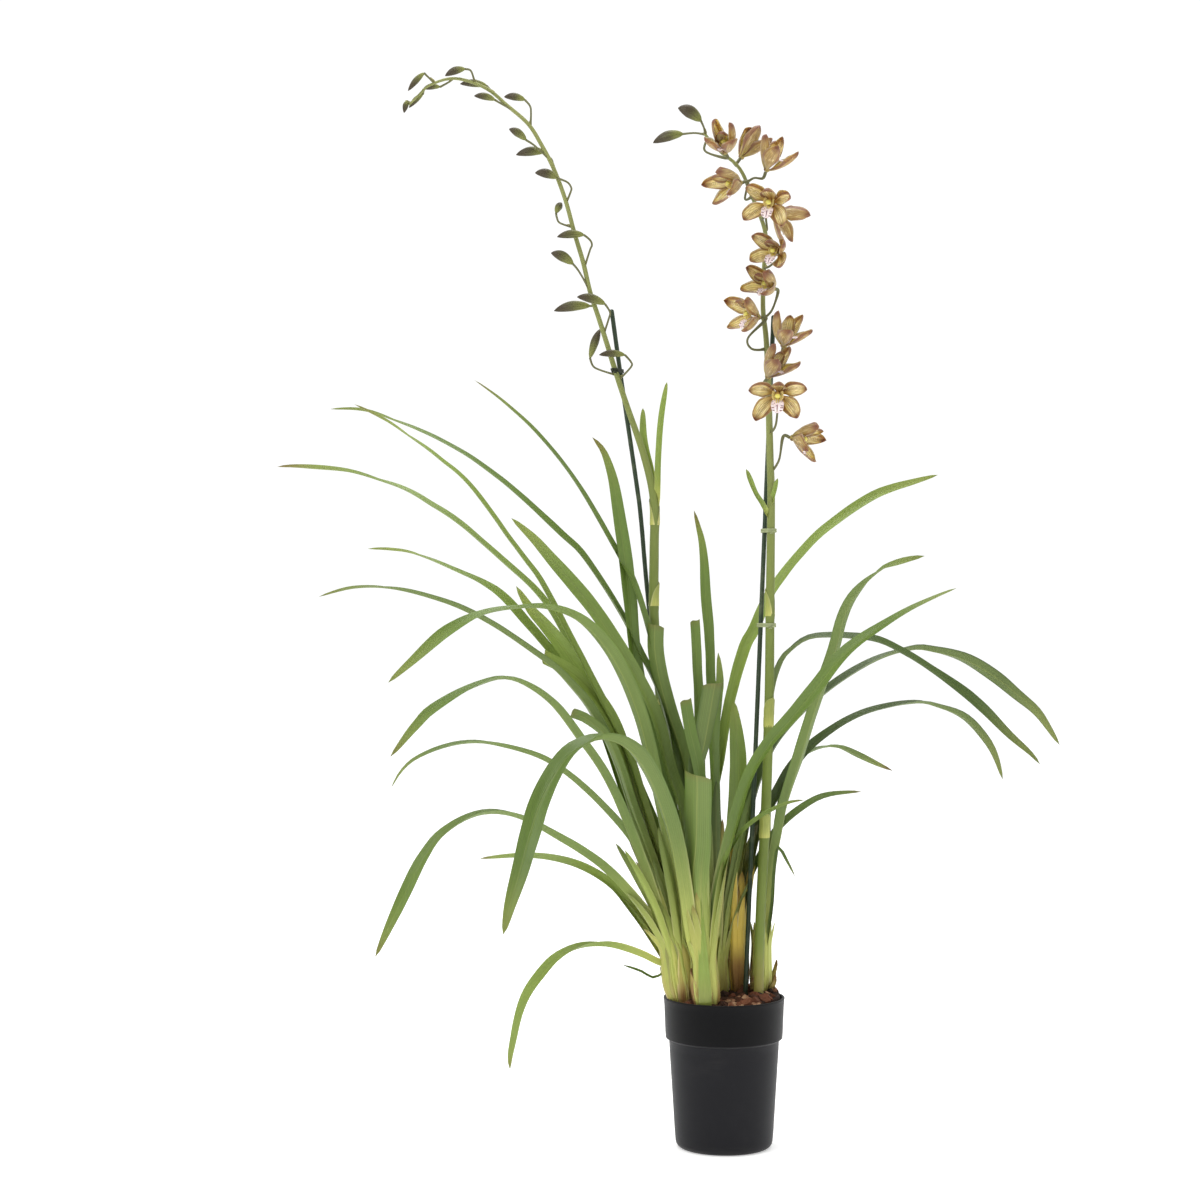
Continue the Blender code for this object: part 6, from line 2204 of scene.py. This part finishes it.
@dataclass
class Pot:
    """A nursery pot with a deep plain collar, a rolled rim and drain holes."""

    height: float = 150.0
    rim: float = 60.5
    collar_foot: float = 58.5
    collar: float = 41.0
    waist: float = 55.0
    base: float = 48.5
    corner: float = 7.0
    wall: float = 1.6
    floor: float = 2.4
    sides: int = 144
    holes: int = 6
    hole_radius: float = 4.0
    hole_circle: float = 33.0
    hole_foot: float = -5.0
    hole_depth: float = 13.0

    def build(self) -> None:
        """Makes the pot as one piece."""
        skin, drill = Skin(), Skin()
        skin.drum([circle(radius, height, self.sides)
                   for radius, height in (*self._outside(), *self._inside())],
                  (Vector(), UPWARDS * self.floor))
        for foot in circle(self.hole_circle, self.hole_foot, self.holes):
            head = foot + UPWARDS * self.hole_depth
            drill.tube([(foot, self.hole_radius), (head, self.hole_radius)], 24)
        shell, tool = (bpy.data.objects.new(name, made.mesh(name))
                       for name, made in (("pot_shell", skin), ("pot_drill", drill)))
        bpy.context.scene.collection.objects.link(shell)
        cut = shell.modifiers.new("drain", "BOOLEAN")
        cut.operation, cut.solver, cut.object = "DIFFERENCE", "MANIFOLD", tool
        graph = bpy.context.evaluated_depsgraph_get()
        mesh = bpy.data.meshes.new_from_object(shell.evaluated_get(graph))
        bpy.data.objects.remove(shell, do_unlink=True)
        bpy.data.objects.remove(tool, do_unlink=True)
        settle("flower_pot", mesh, ["pot"], Dress.POT, crease=34.0)

    def _outside(self) -> list[tuple[float, float]]:
        """Follows the pot's outside from the foot's edge to the top of the rim.

        Returns:
            Radius and height of each point.
        """
        foot = self.height - self.collar
        low, high = self.base + 0.3, self.rim - 0.5
        return [
            *((self.base * share, 0.0) for share in (0.25, 0.5, 0.7)),
            *self._arc(self.base - self.corner, self.corner, self.corner, -90.0, 0.0, 10),
            *((low + (self.waist - low) * step / 12,
               self.corner + (foot - 3.0 - self.corner) * step / 12) for step in range(1, 12)),
            (self.waist, foot - 2.2), (self.waist + 0.5, foot - 1.5),
            (self.waist + 1.8, foot - 0.7), (self.collar_foot - 0.7, foot - 0.15),
            (self.collar_foot - 0.15, foot + 0.5),
            *((self.collar_foot + (high - self.collar_foot) * step / 7,
               foot + 1.0 + (self.height - 4.0 - foot) * step / 7) for step in range(1, 7)),
            *self._arc(self.rim - 1.3, self.height - 1.3, 1.3, -30.0, 90.0, 8)]

    def _inside(self) -> list[tuple[float, float]]:
        """Radius and height from the top of the rim to the floor inside."""
        foot = self.height - self.collar
        return [
            (self.rim - 2.0, self.height - 0.1), (self.rim - 2.5, self.height - 0.7),
            (self.collar_foot - self.wall, foot + 2.0),
            (self.waist - self.wall, foot - 2.0),
            (self.base - self.wall, self.corner),
            (self.base - self.wall - 1.6, self.corner - 2.8),
            (self.base - self.corner, self.floor),
        ]

    @staticmethod
    def _arc(x: float, z: float, radius: float, start: float, end: float,
             steps: int) -> list[tuple[float, float]]:
        """Points of a round edge in the profile."""
        angles = [math.radians(start + (end - start) * step / steps) for step in range(steps + 1)]
        return [(x + radius * math.cos(angle), z + radius * math.sin(angle)) for angle in angles]


@dataclass
class Bark:
    """The bark filling with a layer of chips over it."""

    edge_top: float = 144.5
    crown: float = 5.5
    heap: float = 10.5
    heap_angle: float = math.radians(8)
    reach: float = 58.5
    wall_top: float = 56.3
    floor: float = 2.8
    sides: int = 96
    chips: int = 8
    chip_sides: int = 10
    seed: int = 23

    def top(self, x: float, y: float) -> float:
        """Height of the bark, crowned in the middle and heaped towards the right rear.

        Args:
            x: How far to the right of the pot's axis.
            y: How far behind it.

        Returns:
            The height there.
        """
        share = min(1.0, math.hypot(x, y) / self.reach)
        towards = math.cos(math.atan2(y, x) - self.heap_angle)
        return (self.edge_top + self.crown * (1 - share ** 2)
                + self.heap * max(0.0, towards) * share)

    def build(self, garden: Garden) -> None:
        """Makes the bark as one piece.

        Args:
            garden: The shared trees.
        """
        chips = self._chip_shapes()
        mesh = garden.chips.apply("bark", self._bed(), Dress.BARK, Chips=chips, Spacing=0.0058,
                                  Per_Area=52000.0, Reach=0.0540, Least=0.70, Most=1.55,
                                  Tilt=0.80, Seed=4)
        for shape in list(chips.objects):
            bpy.data.objects.remove(shape, do_unlink=True)
        bpy.data.collections.remove(chips)
        settle("bark_mulch", mesh, ["bark"], crease=38.0)

    def _bed(self) -> bpy.types.Mesh:
        """The filled inside of the pot, with a crumbled top.

        Returns:
            The bed's mesh.
        """
        draw = random.Random(self.seed)
        rings = [circle(radius, height, self.sides) for radius, height in (
            (41.0, self.floor), (46.2, 7.5), (52.9, 107.0), (self.wall_top - 0.2, 111.5),
            (self.wall_top + 0.6, self.edge_top - 1.0))]
        for share in (0.97, 0.9, 0.8, 0.7, 0.6, 0.5, 0.4, 0.3, 0.2, 0.1):
            ring = circle(self.wall_top * share, 0.0, self.sides)
            rings.append([spot + UPWARDS * (self.top(spot.x, spot.y) + draw.uniform(-1.6, 0.6))
                          for spot in ring])
        skin = Skin()
        skin.drum(rings, (UPWARDS * self.floor, UPWARDS * self.top(0.0, 0.0)), kind=1.0)
        return skin.mesh("bark_bed")

    def _chip_shapes(self) -> bpy.types.Collection:
        """Eight broken chunks of bark, a few dozen faces each.

        Returns:
            The chunks, in no scene.
        """
        draw = random.Random(self.seed + 1)
        shapes = bpy.data.collections.new("chip_shapes")
        for index in range(self.chips):
            sizes = Vector((draw.uniform(8.5, 14.5), draw.uniform(5.5, 9.0),
                            draw.uniform(3.2, 5.6)))

            def pushed(spot: Vector, level: float) -> Vector:
                """A corner of the chunk, squared off and pushed about."""
                square = spot / max(0.1, abs(spot.x), abs(spot.y)) ** 0.6
                return Vector(size * (share * 0.45 + draw.uniform(-0.09, 0.09))
                              for size, share in zip(sizes, (square.x, square.y, level)))

            skin = Skin()
            skin.drum([[pushed(spot, level) for spot in circle(1.0, 0.0, self.chip_sides)]
                       for level in (-1.0, 1.0)],
                      (pushed(Vector(), -1.0), pushed(Vector(), 1.0)))
            chip = skin.mesh("chip")
            chip.attributes.remove(chip.attributes["tone"])
            shapes.objects.link(bpy.data.objects.new(f"chip_{index}", chip))
        return shapes


@dataclass
class Stake:
    """A coated stake with rounded ends."""

    node: str
    piece: str
    radius: float = 2.3

    def build(self, garden: Garden) -> None:
        """Makes the stake as one piece, with hardly visible swellings along its coating.

        Args:
            garden: The shared trees.
        """
        points = smoothed(STAKES[self.node], 4)
        path = [(Vector(spot), self.radius
                 * (1.0 + 0.02 * math.sin(spot[2] * 0.35) * math.sin(spot[2] * 0.083)))
                for spot, _ in spaced(points, 2.5)]
        last = path[-1][0]
        along = (last - path[-2][0]).normalized()
        path += [(last + along * self.radius * share, self.radius * girth)
                 for share, girth in ((0.35, 0.94), (0.75, 0.66), (1.0, 0.18))]
        path.insert(0, (path[0][0] - UPWARDS * 0.1, self.radius * 0.6))
        mesh = garden.stalks.apply(self.piece, stalk_mesh(self.piece, [Stalk(path)]),
                                   Dress.STAKE, Sides=20)
        settle(self.piece, mesh, [self.node])

    def at(self, height: float) -> Vector:
        """Middle of the stake at this height."""
        return Vector(at_height(STAKES[self.node], height))


@dataclass
class Tie:
    """A band of tape drawn round a stem and its stake in a few turns, with its twisted ends."""

    name: str
    spike: Spike
    stake: Stake
    dress: Dress
    turns: int = 2
    band: float = 4.0
    thickness: float = 1.2
    clearance: float = 0.55
    sides: int = 40
    section: int = 8

    def __post_init__(self) -> None:
        """Starts its skin."""
        self.skin = Skin()

    def build(self) -> None:
        """Makes the tie as one piece."""
        node, piece = "tie_" + self.name, "tape_" + self.name
        height, wide = TIES[node], self.band / self.turns
        for turn in range(self.turns):
            self._loop(height - self.band / 2 + wide * (turn + 0.5), wide)
        self._ends(height)
        settle(piece, self.skin.mesh(piece), [node], self.dress)

    def _hull(self, height: float, angle: float, grow: float) -> Vector:
        """A point of the taut outline round the stem and the stake.

        Args:
            height: Height of the tape.
            angle: Which way out.
            grow: Distance from what it holds.

        Returns:
            The point.
        """
        held = (self.spike.at(height), (self.stake.at(height), self.stake.radius))
        out = around(angle)
        middle, radius = max(held, key=lambda item: item[0].dot(out) + item[1])
        spot = middle + out * (radius + grow)
        spot.z = height
        return spot

    def _loop(self, height: float, wide: float) -> None:
        """Adds one turn of the tape, with a rounded section.

        Args:
            height: Height of its middle.
            wide: Its breadth.
        """
        slopes = [math.tau * part / self.section
                  for part in range(self.section) for _ in range(self.sides)]
        corners = [
            self._hull(height, math.tau * index / self.sides,
                       self.clearance + self.thickness / 2 * (1.0 + math.cos(slope)))
            + UPWARDS * (wide * 0.52 * math.sin(slope)) for index, slope in enumerate(slopes)]
        faces = [tuple(corner % len(corners) for corner in face)
                 for step in range(self.sides)
                 for face in strip(step, self.sides, self.section + 1)]
        self.skin.shell(corners, faces, {"across": [math.sin(slope) for slope in slopes]})

    def _ends(self, height: float) -> None:
        """Adds two short strands that leave the band with a twist, in front.

        Args:
            height: Height of the band's middle.
        """
        root = self._hull(height, -math.pi / 2, 1.2)
        for side in (-1.0, 1.0):
            path = []
            for share in (step / 10 for step in range(11)):
                turn = 9.0 * share + (math.pi if side > 0 else 0.0)
                path.append((root + Vector((
                    0.5 * math.cos(turn) + side * 1.2 * share ** 2,
                    -0.4 - 1.6 * share + 0.5 * math.sin(turn),
                    -3.5 * share)), 0.55 if 0.0 < share < 1.0 else 0.3))
            self.skin.tube(path, 8)


# Studio


@dataclass
class Studio:
    """White floor, soft light all round, and the camera of the front view."""

    focal: float = 72.0
    camera_place: tuple[float, float, float] = (-0.124, -2.400, 0.546)
    floor_reach: float = 9.0

    def build(self) -> None:
        """Sets up the stage, lights, world, view and camera."""
        self._paper()
        self._world()
        self._light("key", (-1.6, -1.8, 2.4), (-0.05, 0.0, 0.55), 1.3, 30.0)
        self._light("fill", (2.0, -1.5, 1.3), (0.0, 0.0, 0.5), 1.5, 7.0)
        self._light("top", (-0.1, 0.1, 2.7), (0.0, 0.0, 0.5), 1.3, 31.0)
        scene = bpy.context.scene
        scene.view_settings.view_transform = "Standard"
        scene.view_settings.look = "None"
        data = bpy.data.cameras.new("front_camera")
        data.lens = self.focal
        data.sensor_width = 36.0
        data.clip_end = 50.0
        camera = bpy.data.objects.new("front_camera", data)
        camera.location = self.camera_place
        camera.rotation_euler = (math.radians(90.0), 0.0, 0.0)
        scene.collection.objects.link(camera)
        scene.camera = camera

    def _paper(self) -> None:
        """One wide sheet as the floor, open on all sides."""
        far = self.floor_reach
        mesh = bpy.data.meshes.new("studio_paper")
        mesh.from_pydata([(-far, -far, 0.0), (far, -far, 0.0), (far, far, 0.0), (-far, far, 0.0)],
                         [], [(0, 1, 2, 3)])
        mesh.materials.append(Dress.PAPER.material())
        floor = bpy.data.objects.new("studio_paper", mesh)
        bpy.context.scene.collection.objects.link(floor)

    @staticmethod
    def _world() -> None:
        """White light from all round, but little from above the camera."""
        world = bpy.data.worlds.new("studio_world")
        world.use_nodes = True
        world.node_tree.nodes.clear()
        work = NodeWork(world.node_tree)
        _, depth, height = work.split(work.here())
        grey, dim, white = ((value, value, value, 1.0) for value in (0.75, 0.12, 1.06))
        behind = depth.ease(0.0, 0.35).most(height.ease(0.20, 0.10))
        light = work.coats(grey, (depth.ease(-0.30, -0.90), dim), (behind, white))
        back = work.wire("ShaderNodeBackground", {"Color": light, "Strength": 1.0})
        work.node("ShaderNodeOutputWorld", {"Surface": back})
        bpy.context.scene.world = world

    @staticmethod
    def _light(name: str, place: tuple[float, float, float], aim: tuple[float, float, float],
               size: float, power: float) -> None:
        """Adds a soft square light.

        Args:
            name: Its name.
            place: Where it stands, in metres.
            aim: What it looks at.
            size: Its side in metres.
            power: Its power in watts.
        """
        data = bpy.data.lights.new(name, "AREA")
        data.size = size
        data.energy = power
        lamp = bpy.data.objects.new(name, data)
        lamp.location = place
        lamp.rotation_euler = (Vector(aim) - Vector(place)).to_track_quat("-Z", "Y").to_euler()
        bpy.context.scene.collection.objects.link(lamp)


def shoots() -> list[Shoot]:
    """The six shoots with the sheaths and short leaves that clasp their bulbs."""
    return [
        Shoot("front_left", 101, (
            Sheath(178, 100, 0.75, 0.4, 1.4), Sheath(-20, 96, 1.10, 0.8),
            Sheath(205, 84, 1.45, 1.2, 0.2), Sheath(-52, 60, 1.30, 2.4, 0.2, 1.3),
            Sheath(246, 56, 1.75, 1.8, 0.1, 0.4)),
              Fan(16, (-0.58, 0.02), (70.0, 230.0), (7.0, 12.0)), 0.6, 0.0, 182.0,
              (0.6, 0.45, 0.5, 0.6, 0.95, 0.9, 0.5)),
        Shoot("front_middle", 102, (
            Sheath(190, 96, 0.90, 2.0, 0.8, 1.3), Sheath(-15, 96, 1.15, 0.8, 0.6),
            Sheath(236, 44, 1.45, 1.0, 0.1, 0.9), Sheath(-58, 52, 1.80, 1.3, 0.1, 0.5),
            Sheath(-96, 25, 2.10, 4.2, 0.1, 0.0, 0.7)),
              Fan(13, (-0.30, 0.20), (60.0, 190.0), (6.0, 10.0)), 0.6, 0.0, 186.0,
              (0.35, 0.5, 0.55, 0.7, 0.4, 0.2)),
        Shoot("rear_left", 103, (
            Sheath(180, 100, 0.95, 0.4, 0.8), Sheath(-5, 96, 1.25, 0.8),
            Sheath(250, 70, 1.60, 1.0, 0.2), Sheath(-60, 60, 1.95, 1.3, 0.2, 0.3)),
              Fan(12, (-0.42, 0.04), (110.0, 240.0), (8.0, 11.0), (0.4, 0.9)), 0.6, 0.0, 182.0,
              (0.75, 0.5, 0.8, 0.5, 0.7, 0.75, 0.3, 0.6, 0.85, 0.8, 0.5, 0.4)),
        Shoot("rear_middle", 104, (
            Sheath(180, 96, 1.00, 0.4, 0.6), Sheath(0, 96, 1.30, 0.7),
            Sheath(-90, 70, 1.80, 1.0, 0.2, 0.5)),
              Fan(11, (-0.22, 0.30), (120.0, 250.0), (9.0, 14.0), (0.0, 0.5)), 0.6, 0.0, 190.0,
              (0.6, 0.6, 0.5, 0.85, 0.7)),
        Shoot("yellow", 105, (
            Sheath(176, 96, 0.85, 0.3, 0.4, 1.0), Sheath(0, 92, 1.10, 0.6, 0.4, 1.0),
            Sheath(-95, 66, 1.55, 0.9, 0.2, 1.0)),
              Fan(8, (-0.05, 0.14), (90.0, 200.0), (8.0, 12.0), (0.1, 0.6)), 1.0, 0.95, 206.0,
              (0.12, 0.15, 0.5)),
        Shoot("right", 106, (
            Sheath(184, 92, 0.75, 0.3, 0.8, 1.0), Sheath(-10, 92, 0.50, 0.6, 4.0, 1.0),
            Sheath(-80, 66, 1.20, 0.9, 0.3), Sheath(15, 50, 0.78, 1.4, 6.5, 1.2),
            Sheath(-38, 30, 0.64, 2.0, 7.0, 1.3), Sheath(-125, 34, 0.60, 1.8, 3.5, 1.2)),
              Fan(9, (-0.12, 0.14), (40.0, 140.0), (6.0, 10.0), (0.2, 0.8)), 0.9, 0.0, 176.0,
              (0.38, 0.15, 0.35, 0.3)),
    ]


def main() -> None:
    """Builds every sub-assembly in order and reports each piece."""
    logging.basicConfig(level=logging.INFO, format="%(name)s %(message)s")
    Studio().build()
    garden = Garden(Ripple(), Stalks(), ChipLayer())
    Pot().build()
    Bark().build(garden)
    for shoot in shoots():
        shoot.build(garden)
    bud_spike = Spike("bud_spike", "spike_of_buds", BUD_SPIKE_ROUTE, BUDS, BUD_SPIKE_BRACTS,
                      (330.0, 440.0, 540.0, 622.0), 301)
    bloom_spike = Spike("bloom_spike", "spike_of_blooms", BLOOM_SPIKE_ROUTE, BLOOM_SPIKE_BUDS,
                        BLOOM_SPIKE_BRACTS, (310.0, 420.0, 530.0), 302)
    blooms = [Bloom(number, *plan) for number, plan in enumerate(BLOOMS, 1)]
    bud_spike.build(garden)
    bloom_spike.build(garden, [bloom.pedicel(bloom_spike) for bloom in blooms])
    for bloom in blooms:
        bloom.build(garden)
    left, right = Stake("stake_left", "cane_left"), Stake("stake_right", "cane_right")
    left.build(garden)
    right.build(garden)
    Tie("left", bud_spike, left, Dress.TIE_DARK, turns=3).build()
    Tie("right_lower", bloom_spike, right, Dress.TIE).build()
    Tie("right_upper", bloom_spike, right, Dress.TIE).build()


if __name__ == "__main__":
    main()
